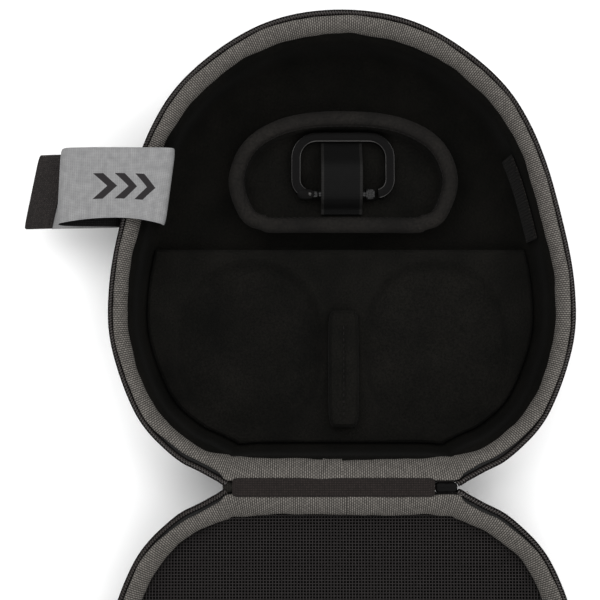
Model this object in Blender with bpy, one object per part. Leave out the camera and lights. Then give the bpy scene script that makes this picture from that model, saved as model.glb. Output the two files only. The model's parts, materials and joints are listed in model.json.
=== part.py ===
"""Clamshell carrying case for over-ear headphones, lying open and flat with both rims up.

The base half lies at +Y and the lid half at -Y of the fabric hinge, which runs along X. Both halves share
one rim outline. A wall is described by a profile: millimetres inward from the outline, and height in
millimetres. Solids come from sweeping a profile around the outline, or from stacking rings of it.
"""

import math

import bmesh
import bpy
from mathutils import Matrix, Vector

MM = 0.001

# The frame: the hinge line's Y, and the height of the rim plane, where the two halves meet.
HINGE_Y = -0.114
RIM_Z = 0.042

# The rim outline's right side: (half-width, distance from the hinge line) in millimetres.
SIDE_MM = (
    (54.5, 0.5),
    (66.5, 7.0),
    (79.5, 14.4),
    (96.4, 32.8),
    (108.4, 64.0),
    (110.5, 90.0),
    (106.0, 121.0),
    (93.8, 164.0),
    (74.4, 195.2),
    (39.0, 220.3),
    (0.0, 227.8),
)
SPAN_STEPS = 3
HINGE_STEPS = 12
NORMAL_PASSES = 4
END_THICKENING = 0.25  # walls are this much thicker where they cross the Y axis

# Wall profiles: (inward, height) in millimetres.
SHELL_PROFILE = (
    (21.0, 0.0),
    (13.0, 1.6),
    (7.4, 6.4),
    (4.6, 15.0),
    (2.0, 31.5),
    (2.0, 39.0),
    (3.2, 39.4),
    (8.9, 34.6),
    (9.2, 33.2),
    (10.0, 17.0),
    (13.2, 8.2),
    (21.0, 4.5),
)
LINING_PROFILE = (
    (20.6, 4.85),
    (13.6, 8.7),
    (10.4, 17.0),
    (9.6, 32.8),
    (11.0, 32.8),
    (11.9, 17.6),
    (14.8, 10.0),
    (21.4, 6.4),
)
BINDING_PROFILE = (
    (2.9, 39.9),
    (2.9, 41.0),
    (3.6, 41.5),
    (4.9, 41.0),
    (10.6, 35.6),
    (11.1, 34.2),
    (10.9, 33.2),
    (9.8, 33.2),
    (9.5, 34.9),
    (3.8, 39.9),
)
TAPE_PROFILE = ((0.7, 39.6), (1.6, 39.6), (1.6, 31.0), (0.9, 31.0))
COIL_PROFILE = ((0.0, 40.9), (0.5, 41.7), (1.7, 41.7), (2.3, 40.9), (1.7, 40.0), (0.5, 40.0))

# The hinge: two flaps of one fabric strip and the lining patch over it.
FLAP_X = (-0.0535, 0.0424)
FLAP_PROFILE = (
    (0.15, 41.2),
    (3.7, 41.2),
    (3.7, 39.9),
    (2.5, 39.9),
    (2.5, 30.0),
    (1.3, 30.0),
    (1.3, 39.9),
    (0.15, 39.9),
)
PATCH_X = (-0.050, 0.0415)
PATCH_PROFILE = ((0.15, 41.9), (3.6, 41.9), (3.6, 41.5), (0.15, 41.5))

# The zip slider, parked at the right end of the zip on the hinge line, and its hanging pull.
SLIDER_CENTRE = (0.0486, HINGE_Y, 0.0392)
SLIDER_SIZE = (0.0090, 0.0048, 0.0046)
BAIL_SIZE = (0.0050, 0.0022, 0.0046)
BAIL_HOLE_RADIUS = 0.0012
PULL_AXIS_Z = 0.0339
PULL_FORK_SIZE = (0.0036, 0.0046, 0.0068)
PULL_FORK_TOP = 0.0354
PULL_GAP_DEPTH = 0.0035  # below the pin's axis, clear of the bail's corners as the pull swings
PULL_GAP_HEIGHT = 0.0200
PULL_TAB_SIZE = (0.0060, 0.0014, 0.0230)
PULL_TAB_OVERLAP = 0.0013

# The interior mouldings are centred on this X.
INTERIOR_X = 0.0015

# The padded insert with a well for each ear cup, and the divider between them.
INSERT_PROFILE = ((22.6, 6.8), (16.2, 10.6), (15.6, 12.6), (17.2, 13.5))
INSERT_TOP_Z = 0.0135
INSERT_END = 0.118
WELL_SIZE = (0.072, 0.086)
WELL_RADII = (0.44, 0.70)  # at the floor and above the rim, as shares of the well's size
WELL_CUT_HEIGHT = 0.020
WELL_SIDES = 28
WELL_SPREAD = 0.0455
WELL_Y = HINGE_Y + 0.0665
WELL_FLOOR_Z = 0.0092
DIVIDER_SIZE = (0.0148, 0.0570, 0.0072)
DIVIDER_Y = HINGE_Y + 0.0560
MAGNET_SIZE = (0.0080, 0.0400, 0.0030)

# The accessory pocket: right half of its D outline, (half-width, distance above its flat side) in mm.
POCKET_Y = HINGE_Y + 0.1224
POCKET_SIDE_MM = (
    (0.0, 0.0),
    (36.0, 0.0),
    (49.5, 6.0),
    (56.5, 26.0),
    (48.5, 46.0),
    (28.0, 57.6),
    (0.0, 60.6),
)
POCKET_PROFILE = (
    (4.5, 6.8),
    (3.0, 9.0),
    (1.6, 15.0),
    (7.0, 15.0),
    (8.0, 9.6),
    (9.6, 8.3),
)
BEAD_CENTRE = (3.9, 18.6)
BEAD_RADII = (3.8, 3.2)
BEAD_SIDES = 8
POCKET_NORMAL_PASSES = 2

# The carabiner in the pocket: its frame, and the gate along its lower side.
CARABINER_Z = 0.0123
GATE_Y = HINGE_Y + 0.1425
FRAME_HALF_WIDTH = 0.0233
FRAME_HEIGHT = 0.0285
FRAME_CORNER = 0.0105
FRAME_LOWER_CORNER = 0.0070
FRAME_BAR = (0.0025, 0.0021)
PIVOT_X = -0.0164
NOSE_X = 0.0178
GATE_RADIUS = 0.0020
SLEEVE_RADIUS = 0.0029
SLEEVE_X = (0.0112, 0.0158)
SLEEVE_FLUTES = 14
SLEEVE_FLUTE_SHARE = 0.9
PIN_RADIUS = 0.0010
PIN_PROUD = 0.0004
FORK_REACH = 0.0022
FORK_SLOT_SIZE = (0.0056, 0.0110, 0.0026)
FORK_SLOT_OFFSET = (0.0004, 0.0, 0.0)
TONGUE_SIZE = (0.0058, 0.0030, 0.0020)
TONGUE_OFFSET = (0.0013, 0.0, 0.0)
ROD_START = 0.0045  # from the pivot
NOSE_GAP = 0.0018  # the rod's end stays this far from the nose, so that it clears it as the gate swings
CLEARANCE = 0.0003

# The webbing band under the frame's top bar and over its gate: (distance from hinge, height) in mm.
BAND_WIDTH = 0.0215
BAND_THICKNESS = 0.0012
BAND_PATH_MM = (
    (132.8, 9.4),
    (135.8, 10.2),
    (138.6, 13.6),
    (141.2, 16.2),
    (146.5, 18.0),
    (152.0, 19.0),
    (156.8, 18.0),
    (161.8, 13.2),
    (165.8, 9.8),
    (170.0, 9.2),
    (172.8, 9.2),
)

# The retaining strap: folded out over the left rim, (X, height) in mm, then its black hook tab.
STRAP_Y = (HINGE_Y + 0.1240, HINGE_Y + 0.1610)
STRAP_AXIS = (-0.080, HINGE_Y + 0.1425, 0.0355)
STRAP_THICKNESS = 0.0014
STRAP_PATH_MM = (
    (-84.0, 44.0),
    (-91.0, 45.0),
    (-112.0, 46.0),
    (-128.0, 45.0),
    (-132.6, 42.9),
    (-132.2, 39.8),
    (-126.0, 37.9),
    (-111.5, 36.0),
    (-108.0, 33.9),
    (-110.6, 31.6),
    (-127.0, 28.6),
    (-137.0, 26.9),
)
TAB_PATH_MM = ((-137.6, 26.8), (-145.0, 25.6), (-152.6, 24.3))
ROOT_PATH_MM = ((-78.4, 15.0), (-79.2, 26.0), (-80.2, 34.0), (-82.2, 41.0))
LOOP_PROFILE = ((13.4, 14.8), (11.5, 31.5), (12.7, 31.5), (14.6, 14.8))
LOOP_REACH = (0.120, 0.165)

# The mesh pocket across the lid.
MESH_INSET = 11.8
MESH_Z = (0.0330, 0.0338)
MESH_END = 0.158
HEM_RADIUS = 0.0018
HEM_END_GAP = 0.003

MATERIALS = {
    "shell_fabric": ((0.020, 0.020, 0.022), 0.85, 0.0),
    "lining": ((0.012, 0.012, 0.013), 0.95, 0.0),
    "binding": ((0.120, 0.112, 0.108), 0.80, 0.0),
    "zip_tape": ((0.010, 0.010, 0.010), 0.85, 0.0),
    "zip_coil": ((0.030, 0.030, 0.030), 0.40, 0.0),
    "hinge_fabric": ((0.015, 0.014, 0.014), 0.90, 0.0),
    "padding": ((0.012, 0.012, 0.013), 0.95, 0.0),
    "magnet": ((0.300, 0.300, 0.310), 0.35, 1.0),
    "black_metal": ((0.020, 0.020, 0.021), 0.35, 0.8),
    "steel": ((0.400, 0.400, 0.400), 0.30, 1.0),
    "webbing": ((0.022, 0.022, 0.024), 0.85, 0.0),
    "strap_webbing": ((0.380, 0.380, 0.390), 0.80, 0.0),
    "hook_tape": ((0.012, 0.012, 0.012), 0.75, 0.0),
    "mesh_fabric": ((0.012, 0.012, 0.012), 0.80, 0.0),
}


def clear_scene():
    """Removes every object of the file, such as the startup cube."""
    for obj in list(bpy.data.objects):
        bpy.data.objects.remove(obj, do_unlink=True)


def material(name):
    """The Principled material of this name, made on first use."""
    found = bpy.data.materials.get(name)
    if found:
        return found
    colour, roughness, metallic = MATERIALS[name]
    made = bpy.data.materials.new(name)
    made.use_nodes = True
    shader = made.node_tree.nodes["Principled BSDF"]
    shader.inputs["Base Color"].default_value = (*colour, 1.0)
    shader.inputs["Roughness"].default_value = roughness
    shader.inputs["Metallic"].default_value = metallic
    made.diffuse_color = (*colour, 1.0)
    return made


def add_pivot(name, location):
    """An empty on a joint's axis, which the pieces that move about it are parented to."""
    pivot = bpy.data.objects.new(name, None)
    pivot.location = location
    pivot.empty_display_size = 0.01
    bpy.context.scene.collection.objects.link(pivot)
    return pivot


def add_object(name, bm, slot, pivot=None, smooth_angle=40.0):
    """Turns a closed bmesh into a named object with outward faces, on its pivot if it has one."""
    bmesh.ops.recalc_face_normals(bm, faces=bm.faces)
    mesh = bpy.data.meshes.new(name)
    bm.to_mesh(mesh)
    bm.free()
    mesh.shade_smooth()
    mesh.set_sharp_from_angle(angle=math.radians(smooth_angle))
    mesh.materials.append(material(slot))
    obj = bpy.data.objects.new(name, mesh)
    bpy.context.scene.collection.objects.link(obj)
    if pivot:
        obj.parent = pivot
        obj.matrix_parent_inverse = Matrix.Translation(pivot.location).inverted()
    return obj


def add_cutter(name, bm):
    """A hidden object that a Boolean cuts with."""
    cutter = add_object(name, bm, "lining")
    cutter.hide_render = True
    cutter.display_type = "WIRE"
    return cutter


def combine(obj, other, operation="DIFFERENCE"):
    """Cuts the other shape out of the object, or joins it on, with a live Boolean."""
    boolean = obj.modifiers.new(other.name, "BOOLEAN")
    boolean.operation = operation
    boolean.solver = "EXACT"
    boolean.object = other


def bevel(obj, width, segments=2):
    """Rounds the object's sharp edges."""
    edges = obj.modifiers.new("edges", "BEVEL")
    edges.width = width
    edges.segments = segments
    edges.limit_method = "ANGLE"
    edges.angle_limit = math.radians(40)


def smooth_curve(points, steps):
    """Points of a Catmull-Rom curve through the given ones, steps to each span."""
    points = [Vector(point) for point in points]
    padded = [2 * points[0] - points[1], *points, 2 * points[-1] - points[-2]]
    curve = []
    for a, b, c, d in zip(padded, padded[1:], padded[2:], padded[3:]):
        for step in range(steps):
            t = step / steps
            pull = (2 * a - 5 * b + 4 * c - d) * t * t + (3 * b - a - 3 * c + d) * t**3
            curve.append(0.5 * (2 * b + (c - a) * t + pull))
    return [*curve, points[-1]]


def mirrored_loop(side):
    """A right side from its lower to its upper end, and the same points mirrored back down."""
    left = [Vector((-point.x, point.y)) for point in reversed(side)]
    return [*side, *left[1:]]


def inward_normals(points, passes):
    """Unit normals into a counter-clockwise loop, averaged with their neighbours so that corners fan out."""
    count = len(points)
    edges = [(points[(i + 1) % count] - points[i]).normalized() for i in range(count)]
    left = [Vector((-edge.y, edge.x)) for edge in edges]
    normals = [(left[i] + left[i - 1]).normalized() for i in range(count)]
    for _ in range(passes):
        before = normals
        normals = [
            (before[i - 1] + 2 * before[i] + before[(i + 1) % count]).normalized() for i in range(count)
        ]
    return normals


def half_curve(side):
    """A smooth curve through a right side's points, level where it meets its mirror image."""
    beyond = (-side[-2][0], side[-2][1])
    curve = smooth_curve([*side, beyond], SPAN_STEPS)
    return [*curve[: SPAN_STEPS * (len(side) - 1)], Vector(side[-1])]


def rim_outline():
    """The closed rim outline as (point, inward step) pairs in mm, the zip's run first."""
    run = mirrored_loop(half_curve(SIDE_MM))
    half_width, distance = SIDE_MM[0]
    shares = [2 * step / HINGE_STEPS - 1 for step in range(1, HINGE_STEPS)]
    points = [*run, *[Vector((half_width * share, distance)) for share in shares]]
    normals = inward_normals(points, NORMAL_PASSES)
    steps = [normal * (1 + END_THICKENING * normal.y**2) for normal in normals]
    return list(zip(points, steps)), len(run)


def pocket_outline():
    """The accessory pocket's closed D outline as (point, inward step) pairs in mm."""
    flat = [Vector(POCKET_SIDE_MM[0]), Vector((POCKET_SIDE_MM[1][0] / 2, 0.0))]
    points = mirrored_loop([*flat, *half_curve(POCKET_SIDE_MM[1:])])[:-1]
    return list(zip(points, inward_normals(points, POCKET_NORMAL_PASSES)))


OUTLINE, RUN_LENGTH = rim_outline()
ZIP_RUN = OUTLINE[:RUN_LENGTH]


def outline_below(distance):
    """The outline's samples nearer the hinge than this, as one open run from the left side to the right."""
    samples = [sample for sample in OUTLINE if sample[0].y * MM < distance]
    start = next(i for i in range(len(samples)) if samples[i][0].x < 0)
    return [*samples[start:], *samples[:start]]


def place(sample, inward, height, side=1):
    """The point this far inside an outline sample and this high, on the base (1) or the lid (side -1)."""
    point, step = sample
    flat = point + step * inward
    return Vector((flat.x * MM, HINGE_Y + side * flat.y * MM, height * MM))


def loft(rings, closed):
    """Skins rings of equal length with quads, and caps both ends unless the last ring meets the first."""
    bm = bmesh.new()
    rows = [[bm.verts.new(point) for point in ring] for ring in rings]
    pairs = list(zip(rows, rows[1:]))
    if closed:
        pairs.append((rows[-1], rows[0]))
    for lower, upper in pairs:
        for i in range(len(lower)):
            bm.faces.new((lower[i - 1], lower[i], upper[i], upper[i - 1]))
    if not closed:
        bm.faces.new(rows[0])
        bm.faces.new(rows[-1])
    return bm


def swept_ring(profile, side):
    """A closed profile carried all the way round the rim."""
    return loft([[place(sample, o, z, side) for o, z in profile] for sample in OUTLINE], closed=True)


def swept_strip(samples, profile, side=1):
    """A closed profile carried along part of the rim, with flat ends."""
    return loft([[place(sample, o, z, side) for o, z in profile] for sample in samples], closed=False)


def bowl(profile, side):
    """A dish whose profile runs from its outer bottom up over its rim to its inner floor."""
    return loft([[place(sample, o, z, side) for sample in OUTLINE] for o, z in profile], closed=False)


def extruded(profile, x_range, side=1):
    """A closed profile of (distance from the hinge line, height) in mm, extruded along X."""
    rings = [[Vector((x, HINGE_Y + side * d * MM, z * MM)) for d, z in profile] for x in x_range]
    return loft(rings, closed=False)


def block(size, centre):
    """A box of this size round this centre."""
    bm = bmesh.new()
    bmesh.ops.create_cube(bm, size=1.0)
    bmesh.ops.scale(bm, vec=size, verts=bm.verts)
    bmesh.ops.translate(bm, vec=centre, verts=bm.verts)
    return bm


def cylinder(radius, start, end, sides=16):
    """A capped cylinder between two points."""
    axis = Vector(end) - Vector(start)
    bm = bmesh.new()
    turn = axis.to_track_quat("Z", "Y").to_matrix().to_4x4()
    where = Matrix.Translation((Vector(start) + Vector(end)) / 2) @ turn
    bmesh.ops.create_cone(
        bm, cap_ends=True, segments=sides, radius1=radius, radius2=radius, depth=axis.length, matrix=where
    )
    return bm


def tangents_along(path):
    """A unit tangent at each point of an open path."""
    directions = [(b - a).normalized() for a, b in zip(path, path[1:])]
    inner = [(a + b).normalized() for a, b in zip(directions, directions[1:])]
    return [directions[0], *inner, directions[-1]]


def ribbon(path, thickness, start, span):
    """A flat band: a path in a plane, thickened across it and extruded along the vector span from start."""
    rings = []
    for point, tangent in zip(path, tangents_along(path)):
        half = tangent.cross(span).normalized() * thickness / 2
        near = point + start
        rings.append([near + half, near - half, near - half + span, near + half + span])
    return loft(rings, closed=False)


def build_half(half, side, pivot):
    """The pieces that the base and the lid share: shell, lining, binding, zip and hinge flap."""
    add_object(f"{half}_shell", bowl(SHELL_PROFILE, side), "shell_fabric", pivot)
    add_object(f"{half}_lining", bowl(LINING_PROFILE, side), "lining", pivot)
    add_object(f"{half}_binding", swept_ring(BINDING_PROFILE, side), "binding", pivot)
    add_object(f"{half}_zip_tape", swept_strip(ZIP_RUN, TAPE_PROFILE, side), "zip_tape", pivot)
    add_object(f"{half}_zip_coil", swept_strip(ZIP_RUN, COIL_PROFILE, side), "zip_coil", pivot)
    add_object(f"{half}_hinge_flap", extruded(FLAP_PROFILE, FLAP_X, side), "hinge_fabric", pivot)
    add_object(f"{half}_hinge_patch", extruded(PATCH_PROFILE, PATCH_X, side), "hinge_fabric", pivot)


def build_zip_slider():
    """The slider parked at the zip's end, its bail, and the pull that hangs from it."""
    x, y, z = SLIDER_CENTRE
    slider = add_object("zip_slider", block(SLIDER_SIZE, SLIDER_CENTRE), "black_metal")
    bevel(slider, 0.0008)
    under = z - SLIDER_SIZE[2] / 2 - CLEARANCE
    bail = add_object("zip_slider_bail", block(BAIL_SIZE, (x, y, under - BAIL_SIZE[2] / 2)), "steel")
    ends = [(x, y - PULL_FORK_SIZE[1], PULL_AXIS_Z), (x, y + PULL_FORK_SIZE[1], PULL_AXIS_Z)]
    combine(bail, add_cutter("bail_hole", cylinder(BAIL_HOLE_RADIUS, *ends)))
    build_zip_pull(Vector((x, y, PULL_AXIS_Z)))


def build_zip_pull(axis):
    """The pull: a fork whose pin runs through the bail, and a flat tab below it."""
    pivot = add_pivot("zip_pull_pivot", axis)
    fork_low = PULL_FORK_TOP - PULL_FORK_SIZE[2]
    fork = block(PULL_FORK_SIZE, (axis.x, axis.y, PULL_FORK_TOP - PULL_FORK_SIZE[2] / 2))
    pull = add_object("zip_pull", fork, "black_metal", pivot)
    gap_size = (2 * PULL_FORK_SIZE[0], BAIL_SIZE[1] + 2 * CLEARANCE, PULL_GAP_HEIGHT)
    gap_centre = axis + Vector((0, 0, PULL_GAP_HEIGHT / 2 - PULL_GAP_DEPTH))
    combine(pull, add_cutter("fork_gap", block(gap_size, gap_centre)))
    half = Vector((0, PULL_FORK_SIZE[1] / 2 - CLEARANCE, 0))
    pin = add_cutter("pull_pin", cylinder(BAIL_HOLE_RADIUS - CLEARANCE, axis - half, axis + half, sides=12))
    tab_centre = (axis.x, axis.y, fork_low + PULL_TAB_OVERLAP - PULL_TAB_SIZE[2] / 2)
    tab = add_cutter("pull_tab", block(PULL_TAB_SIZE, tab_centre))
    combine(pull, pin, "UNION")
    combine(pull, tab, "UNION")


def build_insert():
    """The padded floor insert with two ear-cup wells, the divider between them and the magnet in it."""
    samples = outline_below(INSERT_END)
    rings = [[place(sample, inward, height) for sample in samples] for inward, height in INSERT_PROFILE]
    insert = add_object("ear_cup_insert", loft(rings, closed=False), "padding")
    for label, sign in (("left", -1), ("right", 1)):
        centre = (INTERIOR_X + sign * WELL_SPREAD, WELL_Y, WELL_FLOOR_Z + WELL_CUT_HEIGHT / 2)
        combine(insert, add_cutter(f"{label}_well_cutter", well_shape(centre)))
    build_divider()


def well_shape(centre):
    """An oval funnel, wider at its top, that cuts an ear-cup well."""
    well = bmesh.new()
    low, high = WELL_RADII
    bmesh.ops.create_cone(well, cap_ends=True, segments=WELL_SIDES, radius1=low, radius2=high, depth=1.0)
    bmesh.ops.scale(well, vec=(*WELL_SIZE, WELL_CUT_HEIGHT), verts=well.verts)
    bmesh.ops.translate(well, vec=centre, verts=well.verts)
    return well


def build_divider():
    """The padded divider between the ear cups, with a magnet in the slot under it."""
    width, length, height = DIVIDER_SIZE
    low = INSERT_TOP_Z + CLEARANCE
    body = block((width, length, height), (INTERIOR_X, DIVIDER_Y, low + height / 2))
    divider = add_object("centre_divider", body, "padding")
    magnet_width, magnet_length, magnet_height = MAGNET_SIZE
    slot_height = 2 * (magnet_height + 3 * CLEARANCE)
    slot = (magnet_width + 2 * CLEARANCE, magnet_length + 2 * CLEARANCE, slot_height)
    bevel(divider, 0.0020, segments=3)
    combine(divider, add_cutter("magnet_slot", block(slot, (INTERIOR_X, DIVIDER_Y, low))))
    centre = (INTERIOR_X, DIVIDER_Y, low + CLEARANCE + magnet_height / 2)
    add_object("sleep_magnet", block(MAGNET_SIZE, centre), "magnet")


def build_pocket():
    """The moulded accessory pocket and the padded bead round its mouth."""
    outline = pocket_outline()
    centre = Vector((INTERIOR_X, POCKET_Y - HINGE_Y)) / MM
    placed = [(point + centre, step) for point, step in outline]
    rings = [[place(sample, inward, height) for sample in placed] for inward, height in POCKET_PROFILE]
    add_object("accessory_pocket", loft(rings, closed=False), "padding")
    turns = [2 * math.pi * i / BEAD_SIDES for i in range(BEAD_SIDES)]
    bead = [
        (BEAD_CENTRE[0] + BEAD_RADII[0] * math.cos(turn), BEAD_CENTRE[1] + BEAD_RADII[1] * math.sin(turn))
        for turn in turns
    ]
    sections = [[place(sample, inward, height) for inward, height in bead] for sample in placed]
    add_object("pocket_bead", loft(sections, closed=True), "padding")


def corner_arc(centre, radius, start, end, steps=5):
    """Points of an arc in the carabiner's plane, angles in degrees."""
    turns = [math.radians(start + (end - start) * i / steps) for i in range(steps + 1)]
    return [Vector((centre[0] + radius * math.cos(t), centre[1] + radius * math.sin(t), 0.0)) for t in turns]


def frame_path():
    """The carabiner frame's centreline from the gate's pivot round to the nose, gate at Y 0."""
    width, height, corner, low = FRAME_HALF_WIDTH, FRAME_HEIGHT, FRAME_CORNER, FRAME_LOWER_CORNER
    return [
        Vector((PIVOT_X + FORK_REACH, 0.0, 0.0)),
        *corner_arc((low - width, low), low, 270, 180, 4),
        *corner_arc((corner - width, height - corner), corner, 180, 90),
        *corner_arc((width - corner, height - corner), corner, 90, 0),
        *corner_arc((width - low, low), low, 0, -60, 4),
        Vector((NOSE_X, 0.0, 0.0)),
    ]


def bar_along(path, radii, sides=10):
    """A bar with an oval section along a path in a plane of constant Z."""
    up = Vector((0, 0, 1))
    rings = []
    for point, tangent in zip(path, tangents_along(path)):
        across = tangent.cross(up)
        turns = [2 * math.pi * i / sides for i in range(sides)]
        rings.append([point + across * radii[0] * math.cos(t) + up * radii[1] * math.sin(t) for t in turns])
    return loft(rings, closed=False)


def build_carabiner():
    """The carabiner: frame, pivot pin, and the gate with its knurled sleeve."""
    gate_line = Vector((INTERIOR_X, GATE_Y, CARABINER_Z))
    tilt = add_pivot("carabiner_pivot", gate_line)
    frame = bar_along([point + gate_line for point in frame_path()], FRAME_BAR)
    frame_object = add_object("carabiner_frame", frame, "black_metal", tilt)
    hinge = gate_line + Vector((PIVOT_X, 0, 0))
    swing = add_pivot("gate_pivot", hinge)
    slot = block(FORK_SLOT_SIZE, hinge + Vector(FORK_SLOT_OFFSET))
    combine(frame_object, add_cutter("gate_slot", slot))
    pin_height = Vector((0, 0, FRAME_BAR[1] + PIN_PROUD))
    hole = cylinder(PIN_RADIUS + CLEARANCE / 3, hinge - 2 * pin_height, hinge + 2 * pin_height, sides=12)
    hole_cutter = add_cutter("pin_hole", hole)
    combine(frame_object, hole_cutter)
    add_object("gate_pin", cylinder(PIN_RADIUS, hinge - pin_height, hinge + pin_height, 12), "steel", tilt)
    tongue = block(TONGUE_SIZE, hinge + Vector(TONGUE_OFFSET))
    tongue_object = add_object("gate_tongue", tongue, "black_metal", swing)
    bevel(tongue_object, 0.0006)
    combine(tongue_object, hole_cutter)
    rod_start = hinge + Vector((ROD_START, 0, 0))
    rod_end = gate_line + Vector((NOSE_X - NOSE_GAP, 0, 0))
    add_object("gate_rod", cylinder(GATE_RADIUS, rod_start, rod_end, 14), "black_metal", swing)
    add_object("gate_sleeve", gate_sleeve(gate_line), "black_metal", swing)


def gate_sleeve(gate_line):
    """A ring round the gate's rod with flutes for grip."""
    turns = [math.pi * i / SLEEVE_FLUTES for i in range(2 * SLEEVE_FLUTES)]
    outer = [SLEEVE_RADIUS * (1.0 if i % 2 else SLEEVE_FLUTE_SHARE) for i in range(2 * SLEEVE_FLUTES)]
    inner = [GATE_RADIUS + CLEARANCE] * (2 * SLEEVE_FLUTES)
    low, high = SLEEVE_X
    rings = []
    for x, radii in ((low, outer), (high, outer), (high, inner), (low, inner)):
        ring = [Vector((x, r * math.cos(turn), r * math.sin(turn))) for turn, r in zip(turns, radii)]
        rings.append([gate_line + point for point in ring])
    return loft(rings, closed=True)


def build_band():
    """The webbing band that holds the carabiner in the pocket."""
    path = [Vector((0, HINGE_Y + d * MM, z * MM)) for d, z in BAND_PATH_MM]
    start = Vector((INTERIOR_X - BAND_WIDTH / 2, 0, 0))
    band = ribbon(path, BAND_THICKNESS, start, Vector((BAND_WIDTH, 0, 0)))
    add_object("carabiner_band", band, "webbing")


def strap_piece(name, path_mm, slot, pivot=None):
    """A piece of the retaining strap: a path in the XZ plane, as wide as the strap along Y."""
    path = [Vector((x * MM, 0, z * MM)) for x, z in path_mm]
    start = Vector((0, STRAP_Y[0], 0))
    span = Vector((0, STRAP_Y[1] - STRAP_Y[0], 0))
    add_object(name, ribbon(path, STRAP_THICKNESS, start, span), slot, pivot)


def build_strap():
    """The headphone retaining strap, its root on the left wall and its loop patch on the right wall."""
    pivot = add_pivot("strap_pivot", STRAP_AXIS)
    strap_piece("retaining_strap", STRAP_PATH_MM, "strap_webbing", pivot)
    strap_piece("strap_hook_tab", TAB_PATH_MM, "hook_tape", pivot)
    strap_piece("strap_root", ROOT_PATH_MM, "strap_webbing")
    low, high = LOOP_REACH
    right_wall = [sample for sample in ZIP_RUN if sample[0].x > 0 and low < sample[0].y * MM < high]
    add_object("strap_loop_patch", swept_strip(right_wall, LOOP_PROFILE), "hook_tape")


def build_mesh_pocket(pivot):
    """The net across the lid and the elastic hem along its mouth."""
    samples = outline_below(MESH_END)
    rings = [[place(sample, MESH_INSET, z / MM, -1) for sample in samples] for z in MESH_Z]
    add_object("mesh_pocket", loft(rings, closed=False), "mesh_fabric", pivot)
    left, right = rings[0][0], rings[0][-1]
    middle_z = (MESH_Z[0] + MESH_Z[1]) / 2
    y = left.y - HEM_RADIUS - CLEARANCE
    start = (left.x + HEM_END_GAP, y, middle_z)
    end = (right.x - HEM_END_GAP, y, middle_z)
    add_object("mesh_pocket_hem", cylinder(HEM_RADIUS, start, end, 10), "webbing", pivot)


def main():
    clear_scene()
    lid_pivot = add_pivot("lid_pivot", (0.0, HINGE_Y, RIM_Z))
    build_half("base", 1, None)
    build_half("lid", -1, lid_pivot)
    build_mesh_pocket(lid_pivot)
    build_zip_slider()
    build_insert()
    build_pocket()
    build_carabiner()
    build_band()
    build_strap()


main()
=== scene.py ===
"""Looks of a clamshell headphone case that lies open: shells, bindings, zip, net, pocket, carabiner and
strap.
"""

import json
import logging
import math
from dataclasses import dataclass, field
from enum import Enum
from typing import Callable, Iterable, Optional, Sequence

import bpy
import numpy as np
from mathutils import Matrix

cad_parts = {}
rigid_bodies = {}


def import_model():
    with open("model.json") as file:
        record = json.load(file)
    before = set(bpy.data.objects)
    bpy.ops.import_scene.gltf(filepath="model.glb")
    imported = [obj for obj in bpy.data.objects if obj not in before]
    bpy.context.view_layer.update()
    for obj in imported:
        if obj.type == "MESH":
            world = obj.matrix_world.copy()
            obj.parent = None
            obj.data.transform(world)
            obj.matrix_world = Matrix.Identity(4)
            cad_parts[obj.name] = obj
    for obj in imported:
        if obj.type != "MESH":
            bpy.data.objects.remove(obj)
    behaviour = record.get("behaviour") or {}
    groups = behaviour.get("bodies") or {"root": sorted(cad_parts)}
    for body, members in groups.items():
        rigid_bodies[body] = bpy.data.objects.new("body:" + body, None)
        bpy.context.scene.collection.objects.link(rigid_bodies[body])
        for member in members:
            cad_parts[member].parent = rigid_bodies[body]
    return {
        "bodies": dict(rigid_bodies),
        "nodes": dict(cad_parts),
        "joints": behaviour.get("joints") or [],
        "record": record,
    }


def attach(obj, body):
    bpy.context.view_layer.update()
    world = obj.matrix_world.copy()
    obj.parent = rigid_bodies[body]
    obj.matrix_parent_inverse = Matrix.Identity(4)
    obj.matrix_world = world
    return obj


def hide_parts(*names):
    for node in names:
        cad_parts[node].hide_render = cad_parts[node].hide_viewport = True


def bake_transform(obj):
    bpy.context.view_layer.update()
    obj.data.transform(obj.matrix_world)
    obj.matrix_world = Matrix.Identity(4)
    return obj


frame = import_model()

LOG = logging.getLogger("headphone_case")
MM = 0.001
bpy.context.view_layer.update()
Tree = bpy.types.NodeTree
Node = bpy.types.Node
Socket = bpy.types.NodeSocket
Piece = bpy.types.Object
Array = np.ndarray


def lid_joint() -> dict:
    """The joint that closes the lid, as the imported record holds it."""
    return next(joint for joint in frame["joints"] if joint["name"] == "lid_hinge")


HINGE_Y = float(lid_joint()["pos_m"][1])


# ---------------------------------------------------------------------------------------------------- curves


def catmull_rom(points: Array, steps: int, closed: bool = False) -> Array:
    """A smooth curve through points: each span is the cubic whose end slopes are half its neighbours' chord.

    Args:
        points: the points to pass through, one a row, with any number of columns.
        steps: how many points each span gives.
        closed: whether the last point runs on into the first.

    Returns:
        The curve's points, one a row.
    """
    points = np.asarray(points, float)
    if closed:
        padded = np.vstack([points[-1:], points, points[:2]])
    else:
        padded = np.vstack([2 * points[:1] - points[1:2], points, 2 * points[-1:] - points[-2:-1]])
    a, b, c, d = (padded[i : len(padded) - 3 + i, None, :] for i in range(4))
    t = (np.arange(steps) / steps)[None, :, None]
    curve = 0.5 * (2 * b + (c - a) * t + (2 * a - 5 * b + 4 * c - d) * t**2 + (3 * b - a - 3 * c + d) * t**3)
    curve = curve.reshape(-1, points.shape[1])
    return curve if closed else np.vstack([curve, points[-1:]])


def run_lengths(points: Array) -> Array:
    """The distance travelled to each row of points."""
    return np.concatenate([[0.0], np.cumsum(np.linalg.norm(np.diff(points, axis=0), axis=1))])


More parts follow.
